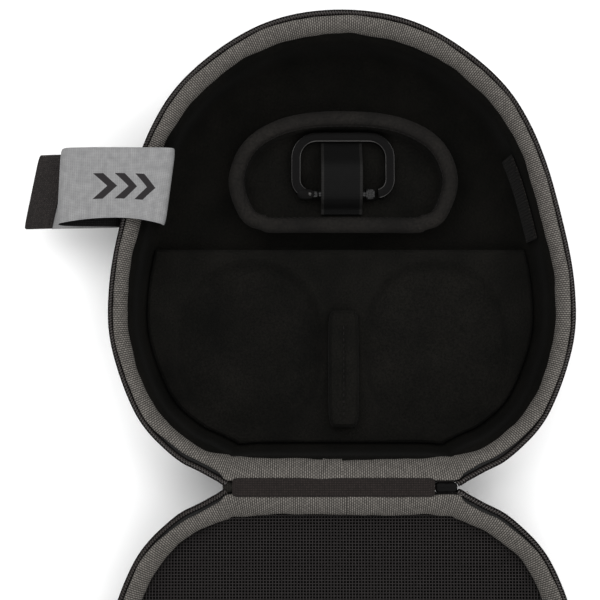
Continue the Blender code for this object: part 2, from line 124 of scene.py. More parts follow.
def respaced(points: Array, count: int) -> Array:
    """The same curve with count points evenly apart along it."""
    along = run_lengths(points)
    at = np.linspace(0.0, along[-1], count)
    return np.stack([np.interp(at, along, points[:, k]) for k in range(points.shape[1])], axis=1)


def inward_normals(points: Array, passes: int) -> Array:
    """Unit normals into a counter-clockwise loop, averaged with their neighbours so that corners fan out."""
    edges = np.roll(points, -1, axis=0) - points
    edges /= np.linalg.norm(edges, axis=1, keepdims=True)
    left = np.stack([-edges[:, 1], edges[:, 0]], axis=1)
    normals = left + np.roll(left, 1, axis=0)
    for _ in range(passes):
        normals /= np.linalg.norm(normals, axis=1, keepdims=True)
        normals = np.roll(normals, 1, axis=0) + 2 * normals + np.roll(normals, -1, axis=0)
    return normals / np.linalg.norm(normals, axis=1, keepdims=True)


def smoothstep(x: Array, low: float, high: float) -> Array:
    """0 below low, 1 above high, and 3t^2 - 2t^3 between."""
    t = np.clip((np.asarray(x, float) - low) / (high - low), 0.0, 1.0)
    return t * t * (3 - 2 * t)


def slow_waves(x: Array, seed: int, longest: float, count: int = 5) -> Array:
    """A sum of sines of falling length and size with seeded phases, from about -1 to 1."""
    phases = np.random.default_rng(seed).uniform(0, 2 * math.pi, count)
    waves = [np.sin(2 * math.pi * x * (i + 1) / longest + phases[i]) / (i + 1) for i in range(count)]
    return np.sum(waves, axis=0) / 1.6


@dataclass(frozen=True)
class PlanOutline:
    """A closed outline seen from above, in millimetres, with the inward step at each of its points."""

    points: Array
    steps: Array

    def finer(self, factor: int) -> "PlanOutline":
        """The same outline with factor times the points, on a smooth closed curve through them."""
        both = catmull_rom(np.hstack([self.points, self.steps]), factor, closed=True)
        return PlanOutline(both[:, :2], both[:, 2:])

    def part(self, chosen: Array) -> "PlanOutline":
        """The chosen points only, in the order given."""
        return PlanOutline(self.points[chosen], self.steps[chosen])

    def at(self, inward: Array) -> Array:
        """Points this far inside: shape (points, len(inward), 2)."""
        return self.points[:, None, :] + self.steps[:, None, :] * np.asarray(inward, float)[None, :, None]


def mirrored_side(side: Array) -> Array:
    """A right side from its lower to its upper end, then the same points mirrored back down."""
    return np.vstack([side, side[-2::-1] * [-1.0, 1.0]])


@dataclass(frozen=True)
class RimShape:
    """The rim outline that both halves share: half-widths and distances from the hinge line."""

    side: tuple[tuple[float, float], ...] = (
        (54.5, 0.5),
        (66.5, 7.0),
        (79.5, 14.4),
        (96.4, 32.8),
        (108.4, 64.0),
        (110.5, 90.0),
        (106.0, 121.0),
        (93.8, 164.0),
        (74.4, 195.2),
        (39.0, 220.3),
        (0.0, 227.8),
    )
    span_steps: int = 3
    hinge_steps: int = 12
    normal_passes: int = 4
    end_thickening: float = 0.25
    factor: int = 4

    def coarse(self) -> PlanOutline:
        """The outline at the CAD's own spacing, the zip's run first and the hinge side last."""
        side = np.array(self.side)
        past = np.vstack([side, side[-2:-1] * [-1.0, 1.0]])
        curve = catmull_rom(past, self.span_steps)[: self.span_steps * (len(side) - 1) + 1]
        run = mirrored_side(curve)
        across = side[0, 0] * (2 * np.arange(1, self.hinge_steps) / self.hinge_steps - 1)
        hinge = np.stack([across, np.full(len(across), side[0, 1])], axis=1)
        points = np.vstack([run, hinge])
        normals = inward_normals(points, self.normal_passes)
        return PlanOutline(points, normals * (1 + self.end_thickening * normals[:, 1:] ** 2))

    def run_count(self) -> int:
        """How many of the fine outline's points the zip's run has."""
        return 2 * self.span_steps * (len(self.side) - 1) * self.factor + 1

    def fine(self) -> PlanOutline:
        """The smooth outline that the visible pieces are swept along."""
        return self.coarse().finer(self.factor)


RIM = RimShape()
OUTLINE = RIM.fine()
ZIP_RUN = OUTLINE.part(np.arange(RIM.run_count()))


def world(plan_mm: Array, height_mm: Array, side: int = 1) -> Array:
    """World points in metres from plan points and heights in millimetres, on the base (1) or the lid (-1)."""
    x, d = plan_mm[..., 0], plan_mm[..., 1]
    return np.stack([x * MM, HINGE_Y + side * d * MM, np.broadcast_to(height_mm, x.shape) * MM], axis=-1)


# ---------------------------------------------------------------------------------------------------- meshes


class Ends(Enum):
    """What happens where a grid's first direction ends."""

    JOINED = "joined"
    CAPPED = "capped"


@dataclass
class Surface:
    """A closed surface on a grid: the second direction always wraps, the first is joined or capped."""

    name: str
    grid: Array
    ends: Ends = Ends.CAPPED
    uv: Optional[Array] = None
    sharp_degrees: float = 50.0

    def _quads(self) -> tuple[Array, Array]:
        """The quads' corner indices, and the (row, column) of each corner in the unwrapped UV grid."""
        rows, columns = self.grid.shape[:2]
        i, j = np.meshgrid(
            np.arange(rows if self.ends is Ends.JOINED else rows - 1), np.arange(columns), indexing="ij"
        )
        cells = np.stack([i, j, i + 1, j, i + 1, j + 1, i, j + 1], axis=-1).reshape(-1, 4, 2)
        index = (cells[..., 0] % rows) * columns + cells[..., 1] % columns
        return index, cells

    def _unwrapped(self) -> Array:
        """UVs for every row and column and one more of each: running lengths along both directions, in
        metres.
        """
        closed = np.concatenate([self.grid, self.grid[:, :1]], axis=1)
        closed = np.concatenate([closed, closed[:1]], axis=0)
        across = np.linalg.norm(np.diff(closed, axis=1), axis=2).cumsum(axis=1)
        across = np.concatenate([np.zeros((len(closed), 1)), across], axis=1)
        along = np.linalg.norm(np.diff(closed, axis=0), axis=2).mean(axis=1).cumsum()
        along = np.concatenate([[0.0], along])[:, None] * np.ones_like(across)
        return np.stack([along, across], axis=-1)

    def build(self) -> Piece:
        """Makes the mesh with outward faces, smooth shading and UVs in metres.

        Returns:
            The new object, at the origin.
        """
        rows, columns = self.grid.shape[:2]
        index, cells = self._quads()
        unwrapped = self._unwrapped() if self.uv is None else self.uv
        flat_uv = unwrapped[cells[..., 0], cells[..., 1]].reshape(-1, 2)
        points = self.grid.reshape(-1, 3)
        faces = index.tolist()
        if self.ends is Ends.CAPPED:
            ring = np.arange(columns)
            faces += [ring.tolist(), ((rows - 1) * columns + ring[::-1]).tolist()]
            flat_uv = np.vstack([flat_uv, unwrapped[0, ring], unwrapped[rows - 1, ring[::-1]]])
        mesh = bpy.data.meshes.new(self.name)
        mesh.from_pydata(points.tolist(), [], faces)
        layer = mesh.uv_layers.new(name="UVMap")
        layer.data.foreach_set("uv", flat_uv.astype(np.float32).ravel())
        a, b, c, d = (points[index[:, k]] for k in range(4))
        if (a * np.cross(b, c)).sum() + (a * np.cross(c, d)).sum() + self._cap_volume(points) < 0:
            mesh.flip_normals()
        mesh.shade_smooth()
        mesh.set_sharp_from_angle(angle=math.radians(self.sharp_degrees))
        mesh.validate()
        piece = bpy.data.objects.new(self.name, mesh)
        bpy.context.scene.collection.objects.link(piece)
        return piece

    def _cap_volume(self, points: Array) -> float:
        """The caps' share of six times the signed volume."""
        if self.ends is Ends.JOINED:
            return 0.0
        columns = self.grid.shape[1]
        total = 0.0
        for ring in (points[:columns], points[-columns:][::-1]):
            total += (ring[0] * np.cross(ring[1:-1], ring[2:])).sum()
        return float(total)


def swept(
    name: str, outline: PlanOutline, profile: Array, side: int, ends: Ends, shift: Optional[Array] = None
) -> Surface:
    """A closed profile of (inward, height) carried along an outline.

    Args:
        name: the new object's name.
        outline: the outline that it follows.
        profile: (inward, height) rows in millimetres.
        side: 1 on the base, -1 on the lid.
        ends: joined round a whole outline, or capped.
        shift: extra (inward, height) for each outline and profile point, in millimetres.

    Returns:
        The surface, not yet built.
    """
    profile = np.asarray(profile, float)
    both = np.broadcast_to(profile, (len(outline.points), *profile.shape)).copy()
    if shift is not None:
        both += shift
    plan = outline.points[:, None, :] + outline.steps[:, None, :] * both[..., :1]
    return Surface(name, world(plan, both[..., 1], side), ends)


def bowl(name: str, outline: PlanOutline, profile: Array, side: int) -> Surface:
    """A dish of rings, from its outer bottom up over its rim to its inner floor, with the cloth's own UVs.

    The UV unfolds the wall: a ring's plan point at the bottom, moved outwards by the distance up the wall.
    """
    rings = outline.at(profile[:, 0]).transpose(1, 0, 2)
    grid = world(rings, profile[:, 1][:, None], side)
    climbed = run_lengths(profile)
    climbed = climbed - climbed[0]
    outward = -outline.steps / np.linalg.norm(outline.steps, axis=1, keepdims=True)
    uv = rings[0][None] + outward[None] * climbed[:, None, None]
    half = np.searchsorted(climbed, climbed[-1] / 2)
    mirrored = rings[-1][None] + outward[None] * (climbed[-1] - climbed)[:, None, None]
    uv[half:] = mirrored[half:]
    uv = np.concatenate([uv, uv[:, :1]], axis=1) * MM
    return Surface(name, grid, Ends.CAPPED, uv, sharp_degrees=60)


def frames_along(path: Array, up: Array) -> tuple[Array, Array, Array]:
    """Unit tangents, sideways vectors and normals along a path, the sideways ones square to up."""
    tangents = np.gradient(path, axis=0)
    tangents /= np.linalg.norm(tangents, axis=1, keepdims=True)
    side = np.cross(tangents, up)
    side /= np.linalg.norm(side, axis=1, keepdims=True)
    return tangents, side, np.cross(side, tangents)


def tube(name: str, path: Array, section: Array, up: Array = np.array([0.0, 0.0, 1.0])) -> Surface:
    """A section of (sideways, upwards) rows in metres carried along a path, with capped ends."""
    _, side, normal = frames_along(path, up)
    grid = path[:, None] + side[:, None] * section[None, :, :1] + normal[:, None] * section[None, :, 1:]
    return Surface(name, grid)


def ellipse(radius_x: float, radius_y: float, sides: int, power: float = 2.0) -> Array:
    """A closed superellipse: each coordinate is a signed power of the angle's cosine or sine."""
    turn = 2 * math.pi * np.arange(sides) / sides
    cos, sin = np.cos(turn), np.sin(turn)
    shape = [
        radius_x * np.sign(cos) * np.abs(cos) ** (2 / power),
        radius_y * np.sign(sin) * np.abs(sin) ** (2 / power)
    ]
    return np.stack(shape, axis=1)


def turned(
    name: str, start: Array, axis: Array, profile: Array, sides: int, flutes: Optional[Callable] = None
) -> Surface:
    """A turned shape: (distance, radius) rows in metres carried round an axis from start.

    Args:
        name: the new object's name.
        start: the axis's first point.
        axis: its unit direction.
        profile: (distance along the axis, radius) rows.
        sides: points round it.
        flutes: gives a factor on the radius from (distance, angle).

    Returns:
        The surface, not yet built.
    """
    first = np.cross(axis, [0.0, 0.0, 1.0]) if abs(axis[2]) < 0.9 else np.array([1.0, 0.0, 0.0])
    first /= np.linalg.norm(first)
    second = np.cross(axis, first)
    turn = 2 * math.pi * np.arange(sides)[None, :] / sides
    radius = profile[:, 1:] * np.ones_like(turn)
    if flutes:
        radius = radius * flutes(profile[:, :1], turn)
    ring = first * np.cos(turn)[..., None] + second * np.sin(turn)[..., None]
    return Surface(name, start + axis * profile[:, None, :1] + ring * radius[..., None], sharp_degrees=35)


def beads_along(
    name: str, centres: Array, along: Array, up: Array, radii: tuple[float, float, float]
) -> Piece:
    """Small closed stitches: a low-sided ellipsoid at each centre, turned to its own direction.

    Args:
        name: the new object's name.
        centres: one centre a row, in metres.
        along: the unit direction of each stitch.
        up: the unit direction out of the cloth at each stitch.
        radii: half-sizes along, across and up, in metres.

    Returns:
        The new object.
    """
    lat, lon = 5, 6
    polar = np.pi * (np.arange(1, lat - 1)) / (lat - 1)
    turn = 2 * np.pi * np.arange(lon) / lon
    rings = np.stack(
        [
            np.cos(polar)[:, None] * np.ones(lon),
            np.sin(polar)[:, None] * np.cos(turn),
            np.sin(polar)[:, None] * np.sin(turn),
        ],
        axis=-1,
    ).reshape(-1, 3)
    unit = np.vstack([[[1.0, 0, 0]], rings, [[-1.0, 0, 0]]]) * np.array(radii)
    across = np.cross(up, along)
    points = (
        centres[:, None]
        + along[:, None] * unit[None, :, :1]
        + across[:, None] * unit[None, :, 1:2]
        + up[:, None] * unit[None, :, 2:]
    )
    count, last = len(unit), len(unit) - 1
    j = np.arange(lon)
    k = (j + 1) % lon
    caps = np.vstack(
        [np.stack([0 * j, 1 + j, 1 + k], 1), np.stack([0 * j + last, last - lon + k, last - lon + j], 1)]
    )
    quads = np.concatenate(
        [np.stack([1 + r * lon + j, 1 + (r + 1) * lon + j, 1 + (r + 1) * lon + k, 1 + r * lon + k], 1)
        for r in range(lat - 3)]
    )
    shift = (np.arange(len(centres)) * count)[:, None, None]
    faces = (caps[None] + shift).reshape(-1, 3).tolist() + (quads[None] + shift).reshape(-1, 4).tolist()
    mesh = bpy.data.meshes.new(name)
    mesh.from_pydata(points.reshape(-1, 3).tolist(), [], faces)
    mesh.shade_smooth()
    piece = bpy.data.objects.new(name, mesh)
    bpy.context.scene.collection.objects.link(piece)
    return piece


def joined(name: str, pieces: Sequence[Piece]) -> Piece:
    """One object from several new ones, whose meshes are put together in order."""
    with bpy.context.temp_override(active_object=pieces[0], selected_editable_objects=list(pieces)):
        bpy.ops.object.join()
    pieces[0].name = name
    pieces[0].data.name = name
    return pieces[0]


def rounded(corners: Sequence[tuple[float, float]], passes: int, closed: bool = True) -> Array:
    """Cuts a profile's corners: each pass puts points at 1/4 and 3/4 of every edge, so it never bulges out.
    """
    points = np.array(corners, float)
    for _ in range(passes):
        following = np.roll(points, -1, axis=0)
        cut = np.stack([0.75 * points + 0.25 * following, 0.25 * points + 0.75 * following], axis=1)
        points = cut.reshape(-1, 2) if closed else np.vstack(
            [points[:1], cut[:-1].reshape(-1, 2), points[-1:]]
        )
    return points


def cushion(name: str, loop: Array, wall: Array, top: Callable[[Array, Array], Array], rings: int) -> Surface:
    """A pad: a wall of (inset, height) rings inside a plan loop, then rings that shrink over its top.

    Args:
        name: the new object's name.
        loop: the plan loop in millimetres, counter-clockwise.
        wall: (inset, height) rows in millimetres from the bottom to the top's edge.
        top: gives the height added at (x, d) over the top, in millimetres, near 0 at the edge.
        rings: how many rings the top has.

    Returns:
        The surface, not yet built.
    """
    normals = inward_normals(loop, 2)
    sides = loop[None] + normals[None] * wall[:, None, :1]
    edge, centre = sides[-1], sides[-1].mean(axis=0)
    shrink = np.cos(np.linspace(0, math.pi / 2, rings + 1)[1:-1])[:, None, None]
    shrink = np.concatenate([shrink, [[[0.01]]]])
    over = centre + (edge - centre)[None] * shrink
    plan = np.concatenate([sides, over])
    flat = np.broadcast_to(wall[:, 1:], sides.shape[:2])
    crowned = wall[-1, 1] + top(over[..., 0], over[..., 1])
    surface = Surface(name, world(plan, np.concatenate([flat, crowned])))
    uv = np.concatenate([plan, plan[:, :1]], axis=1) * MM
    surface.uv = uv
    return surface


# -------------------------------------------------------------------------------------------------- finishes


def linear(hex_colour: str) -> tuple[float, float, float, float]:
    """Linear RGBA from an sRGB hex colour: c/12.92 below 0.04045, else ((c + 0.055) / 1.055)^2.4."""
    srgb = np.array([int(hex_colour[i : i + 2], 16) for i in (1, 3, 5)]) / 255
    values = np.where(srgb <= 0.04045, srgb / 12.92, ((srgb + 0.055) / 1.055) ** 2.4)
    return (*values.tolist(), 1.0)


def add(tree: Tree, kind: str, values: Optional[dict] = None, **settings: object) -> Node:
    """Adds a node with its settings, and sets or links its inputs.

    Args:
        tree: the material's node tree.
        kind: the node's type without its ShaderNode prefix.
        values: input name or number to a value, or to an output that it is linked from.
        settings: the node's own properties.

    Returns:
        The new node.
    """
    node = tree.nodes.new("ShaderNode" + kind)
    for key, value in settings.items():
        setattr(node, key, value)
    for key, value in (values or {}).items():
        if isinstance(value, Socket):
            tree.links.new(value, node.inputs[key])
        else:
            node.inputs[key].default_value = value
    return node


def ridge(tree: Tree, along: Socket, pitch_mm: float, phase: float = 0.0) -> Socket:
    """A row of rounded ridges across a coordinate in metres: |sin(pi x / pitch + phase)|."""
    turned_by = add(
        tree, "Math", {0: along, 1: math.pi / (pitch_mm * MM), 2: phase}, operation="MULTIPLY_ADD"
    )
    wave = add(tree, "Math", {0: turned_by.outputs[0]}, operation="SINE")
    return add(tree, "Math", {0: wave.outputs[0]}, operation="ABSOLUTE").outputs[0]


def thread_tone(tree: Tree, u: Socket, v: Socket, pitch_u: float, pitch_v: float) -> Socket:
    """A number from 0 to 1 for each thread crossing: white noise on the crossing's row and column."""
    row = add(tree, "Math", {0: u, 1: pitch_u * MM}, operation="DIVIDE")
    row = add(tree, "Math", {0: row.outputs[0]}, operation="FLOOR")
    column = add(tree, "Math", {0: v, 1: pitch_v * MM}, operation="DIVIDE")
    column = add(tree, "Math", {0: column.outputs[0]}, operation="FLOOR")
    cell = add(tree, "CombineXYZ", {0: row.outputs[0], 1: column.outputs[0]})
    return add(tree, "TexWhiteNoise", {"Vector": cell.outputs[0]}, noise_dimensions="2D").outputs["Value"]


@dataclass(frozen=True)
class Finish:
    """What all finishes share: a name, two tones, and one material made on first use."""

    name: str
    dark: str
    pale: str
    roughness: float = 0.85
    sheen: float = 0.0
    ior: float = 1.5
    metallic: float = 0.0
    specular: float = 0.5

    def material(self) -> bpy.types.Material:
        """The finish's material."""
        found = bpy.data.materials.get(self.name)
        if found:
            return found
        made = bpy.data.materials.new(self.name)
        made.use_nodes = True
        shader = made.node_tree.nodes["Principled BSDF"]
        shader.inputs["Roughness"].default_value = self.roughness
        shader.inputs["Metallic"].default_value = self.metallic
        shader.inputs["IOR"].default_value = self.ior
        shader.inputs["Sheen Weight"].default_value = self.sheen
        shader.inputs["Sheen Roughness"].default_value = 0.4
        shader.inputs["Specular IOR Level"].default_value = self.specular
        made.diffuse_color = linear(self.dark)
        self.wire(made.node_tree, shader)
        return made

    def wire(self, tree: Tree, shader: Node) -> None:
        """Gives the shader its pattern; each finish has its own."""

    def tint(self, tree: Tree, shader: Node, share: Socket) -> None:
        """Links a mix of the dark and pale tones to the shader's colour."""
        mix = add(tree, "Mix", {0: share, 6: linear(self.dark), 7: linear(self.pale)}, data_type="RGBA")
        tree.links.new(mix.outputs[2], shader.inputs["Base Color"])

    def emboss(
        self, tree: Tree, shader: Node, height: Socket, depth_mm: float, strength: float = 1.0
    ) -> None:
        """Links a bump of this depth to the shader's normal."""
        bump = add(tree, "Bump", {"Height": height, "Distance": depth_mm * MM, "Strength": strength})
        tree.links.new(bump.outputs[0], shader.inputs["Normal"])

    def dress(self, *pieces: Piece) -> None:
        """Puts the finish on pieces in place of whatever they had."""
        for piece in pieces:
            piece.data.materials.clear()
            piece.data.materials.append(self.material())


def uv_axes(tree: Tree) -> tuple[Socket, Socket]:
    """The two coordinates of the piece's own UV map, in metres."""
    split = add(tree, "SeparateXYZ", {0: add(tree, "UVMap", uv_map="UVMap").outputs[0]})
    return split.outputs[0], split.outputs[1]


@dataclass(frozen=True)
class PlainWeave(Finish):
    """Plain-woven polyester: a chequer of small round floats, each thread a little lighter or darker."""

    pitch_mm: tuple[float, float] = (0.9, 0.9)
    depth_mm: float = 0.18
    unevenness: float = 0.5

    def wire(self, tree: Tree, shader: Node) -> None:
        """Height is |sin| times |sin| of the two threads; tone is that height times the crossing's own
        noise.
        """
        u, v = uv_axes(tree)
        warp = ridge(tree, u, self.pitch_mm[0])
        weft = ridge(tree, v, self.pitch_mm[1])
        height = add(tree, "Math", {0: warp, 1: weft}, operation="MULTIPLY")
        tone = thread_tone(tree, u, v, *self.pitch_mm)
        uneven = add(
            tree, "Math", {0: tone, 1: self.unevenness, 2: 1 - self.unevenness}, operation="MULTIPLY_ADD"
        )
        share = add(tree, "Math", {0: height.outputs[0], 1: uneven.outputs[0]}, operation="MULTIPLY")
        self.tint(tree, shader, share.outputs[0])
        self.emboss(tree, shader, height.outputs[0], self.depth_mm)


@dataclass(frozen=True)
class RibbedTape(Finish):
    """Ribbed polyester tape in a mottled yarn: ribs across its length, each a row of pale and dark beads."""

    rib_mm: float = 1.0
    bead_mm: float = 1.5
    depth_mm: float = 0.35
    yarn: tuple[float, float] = (0.75, 1.1)

    def wire(self, tree: Tree, shader: Node) -> None:
        """Ribs are |sin| along the tape and beads |sin| across it, moved half a bead on every other rib."""
        u, v = uv_axes(tree)
        rib = ridge(tree, u, self.rib_mm)
        row = add(tree, "Math", {0: u, 1: self.rib_mm * MM}, operation="DIVIDE")
        row = add(tree, "Math", {0: row.outputs[0]}, operation="FLOOR")
        bonded = add(
            tree, "Math", {0: row.outputs[0], 1: self.bead_mm * MM / 2, 2: v}, operation="MULTIPLY_ADD"
        )
        bead = ridge(tree, bonded.outputs[0], self.bead_mm)
        soft = add(tree, "Math", {0: bead, 1: 0.65, 2: 0.35}, operation="MULTIPLY_ADD")
        height = add(tree, "Math", {0: rib, 1: soft.outputs[0]}, operation="MULTIPLY")
        tone = thread_tone(tree, u, bonded.outputs[0], self.rib_mm, self.bead_mm)
        yarn = add(tree, "MapRange", {0: tone, 3: self.yarn[0], 4: self.yarn[1]})
        share = add(
            tree, "Math", {0: height.outputs[0], 1: yarn.outputs[0]}, operation="MULTIPLY", use_clamp=True
        )
        self.tint(tree, shader, share.outputs[0])
        self.emboss(tree, shader, height.outputs[0], self.depth_mm)


@dataclass(frozen=True)
class BrushedTricot(Finish):
    """Brushed tricot knit over foam: a short soft nap, dull and dark, with a faint bloom at grazing angles.
    """

    nap_mm: float = 0.9
    cloud_mm: float = 22.0
    depth_mm: float = 0.25

    def wire(self, tree: Tree, shader: Node) -> None:
        """Fine noise is the nap; noise twenty times as wide is where it has been stroked the other way."""
        place = add(tree, "TexCoord").outputs["Object"]
        nap = add(tree, "TexNoise", {"Vector": place, "Scale": 1 / (self.nap_mm * MM), "Detail": 2.0})
        cloud = add(tree, "TexNoise", {"Vector": place, "Scale": 1 / (self.cloud_mm * MM), "Detail": 3.0})
        both = add(tree, "Math", {0: nap.outputs[0], 1: cloud.outputs[0]}, operation="MULTIPLY")
        share = add(tree, "MapRange", {0: both.outputs[0], 1: 0.12, 2: 0.42})
        self.tint(tree, shader, share.outputs[0])
        self.emboss(tree, shader, nap.outputs[0], self.depth_mm, 0.7)


@dataclass(frozen=True)
class HookTape(Finish):
    """Hook or loop fastener tape: rows of stiff nylon tufts on a woven ground."""

    tuft_mm: tuple[float, float] = (1.3, 1.0)
    depth_mm: float = 0.5

    def wire(self, tree: Tree, shader: Node) -> None:
        """Tufts are the square of |sin| times |sin|, so that they stand apart from each other."""
        u, v = uv_axes(tree)
        rows = ridge(tree, u, self.tuft_mm[0])
        columns = ridge(tree, v, self.tuft_mm[1])
        grid = add(tree, "Math", {0: rows, 1: columns}, operation="MULTIPLY")
        tufts = add(tree, "Math", {0: grid.outputs[0], 1: 2.0}, operation="POWER")
        tone = thread_tone(tree, u, v, *self.tuft_mm)
        share = add(tree, "Math", {0: tufts.outputs[0], 1: tone}, operation="MULTIPLY")
        self.tint(tree, shader, share.outputs[0])
        self.emboss(tree, shader, tufts.outputs[0], self.depth_mm)


@dataclass(frozen=True)
class StrapWeave(Finish):
    """Close-woven polyester strap with a fine grid of threads and three printed chevrons near its root."""

    pitch_mm: float = 1.0
    ink: str = "#242223"
    motif_start: tuple[float, float] = (0.0, 0.0)
    motif_pitch_mm: float = 10.0
    motif_stroke_mm: float = 4.6
    motif_count: int = 3
    motif_half_mm: float = 6.6

    def wire(self, tree: Tree, shader: Node) -> None:
        """The print is where (u - |v|) falls in the first part of each pitch, inside the motif's own box."""
        u, v = uv_axes(tree)
        warp = ridge(tree, u, self.pitch_mm)
        weft = ridge(tree, v, self.pitch_mm * 0.8)
        height = add(tree, "Math", {0: warp, 1: weft}, operation="MAXIMUM")
        tone = thread_tone(tree, u, v, self.pitch_mm, self.pitch_mm * 6)
        streak = add(
            tree, "TexNoise", {"Vector": add(tree, "UVMap", uv_map="UVMap").outputs[0], "Scale": 300.0}
        )
        mottled = add(tree, "Math", {0: tone, 1: 0.12, 2: streak.outputs[0]}, operation="MULTIPLY_ADD")
        share = add(
            tree, "Math", {0: mottled.outputs[0], 1: height.outputs[0]}, operation="MULTIPLY",
            use_clamp=True
        )
        cloth = add(
            tree, "Mix", {0: share.outputs[0], 6: linear(self.dark), 7: linear(self.pale)}, data_type="RGBA"
        )
        print_share = self.printed(tree, u, v)
        inked = add(tree, "Mix", {0: print_share, 6: cloth.outputs[2], 7: linear(self.ink)}, data_type="RGBA")
        tree.links.new(inked.outputs[2], shader.inputs["Base Color"])
        self.emboss(tree, shader, height.outputs[0], 0.07, 0.8)

    def printed(self, tree: Tree, u: Socket, v: Socket) -> Socket:
        """1 where the print lies and 0 elsewhere."""
        start_u, centre_v = self.motif_start
        run = add(tree, "Math", {0: u, 1: start_u}, operation="SUBTRACT")
        off = add(tree, "Math", {0: v, 1: centre_v}, operation="SUBTRACT")
        off = add(tree, "Math", {0: off.outputs[0]}, operation="ABSOLUTE")
        slanted = add(tree, "Math", {0: run.outputs[0], 1: off.outputs[0]}, operation="SUBTRACT")
        cell = add(
            tree, "Math", {0: slanted.outputs[0], 1: self.motif_pitch_mm * MM}, operation="FLOORED_MODULO"
        )
        stroke = add(tree, "Math", {0: cell.outputs[0], 1: self.motif_stroke_mm * MM}, operation="LESS_THAN")
        length = self.motif_count * self.motif_pitch_mm * MM
        after = add(tree, "Math", {0: slanted.outputs[0], 1: 0.0}, operation="GREATER_THAN")
        before = add(tree, "Math", {0: slanted.outputs[0], 1: length}, operation="LESS_THAN")
        inside = add(tree, "Math", {0: off.outputs[0], 1: self.motif_half_mm * MM}, operation="LESS_THAN")
        shares = add(tree, "Math", {0: after.outputs[0], 1: before.outputs[0]}, operation="MULTIPLY")
        shares = add(tree, "Math", {0: shares.outputs[0], 1: inside.outputs[0]}, operation="MULTIPLY")
        return add(
            tree, "Math", {0: shares.outputs[0], 1: stroke.outputs[0]}, operation="MULTIPLY"
        ).outputs[0]


@dataclass(frozen=True)
class MouldedNylon(Finish):
    """Extruded or moulded nylon: smooth and slightly glossy, with a trace of scuffed grey."""

    grain_mm: float = 1.2

    def wire(self, tree: Tree, shader: Node) -> None:
        """Noise varies its tone, and its roughness by a tenth either way."""
        place = add(tree, "TexCoord").outputs["Object"]
        grain = add(tree, "TexNoise", {"Vector": place, "Scale": 1 / (self.grain_mm * MM), "Detail": 3.0})
        self.tint(tree, shader, grain.outputs[0])
        worn = add(
            tree, "MapRange",
            {0: grain.outputs[0], 1: 0.3, 2: 0.7, 3: self.roughness - 0.1, 4: self.roughness + 0.1}
        )
        tree.links.new(worn.outputs[0], shader.inputs["Roughness"])


@dataclass(frozen=True)
class PaintedMetal(Finish):
    """Black baked paint on die-cast or drawn metal: satin, worn to grey in scattered patches."""

    wear: str = "#5d5d5f"
    speck_mm: float = 0.5

    def wire(self, tree: Tree, shader: Node) -> None:
        """Where a coarse noise passes a limit the paint is worn; fine noise varies its tone and roughens it
        like orange peel.
        """
        place = add(tree, "TexCoord").outputs["Object"]
        speck = add(tree, "TexNoise", {"Vector": place, "Scale": 1 / (self.speck_mm * MM), "Detail": 4.0})
        scuff = add(tree, "TexNoise", {"Vector": place, "Scale": 180.0, "Detail": 5.0})
        worn = add(tree, "MapRange", {0: scuff.outputs[0], 1: 0.74, 2: 0.90})
        paint = add(
            tree, "Mix", {0: speck.outputs[0], 6: linear(self.dark), 7: linear(self.pale)}, data_type="RGBA"
        )
        mix = add(
            tree, "Mix", {0: worn.outputs[0], 6: paint.outputs[2], 7: linear(self.wear)}, data_type="RGBA"
        )
        tree.links.new(mix.outputs[2], shader.inputs["Base Color"])
        peel = add(
            tree, "MapRange",
            {0: speck.outputs[0], 1: 0.3, 2: 0.7, 3: self.roughness - 0.07, 4: self.roughness + 0.09}
        )
        tree.links.new(peel.outputs[0], shader.inputs["Roughness"])
        self.emboss(tree, shader, speck.outputs[0], 0.03, 0.5)


@dataclass(frozen=True)
class PlatedSteel(Finish):
    """Nickel-plated steel, turned or stamped: bright grey with fine drawn lines."""

    line_mm: float = 0.25

    def wire(self, tree: Tree, shader: Node) -> None:
        """Noise stretched twelve times along Z gives the drawn lines."""
        place = add(tree, "TexCoord").outputs["Object"]
        drawn = add(tree, "Mapping", {0: place, "Scale": (1.0, 1.0, 1 / 12)})
        lines = add(
            tree, "TexNoise", {"Vector": drawn.outputs[0], "Scale": 1 / (self.line_mm * MM), "Detail": 3.0}
        )
        self.tint(tree, shader, lines.outputs[0])
        self.emboss(tree, shader, lines.outputs[0], 0.02, 0.4)


@dataclass(frozen=True)
class MattPaint(Finish):
    """A smooth matt white sweep with a barely uneven tone."""

    def wire(self, tree: Tree, shader: Node) -> None:
        """Wide noise between two near whites."""
        place = add(tree, "TexCoord").outputs["Object"]
        self.tint(tree, shader, add(tree, "TexNoise", {"Vector": place, "Scale": 3.0}).outputs[0])


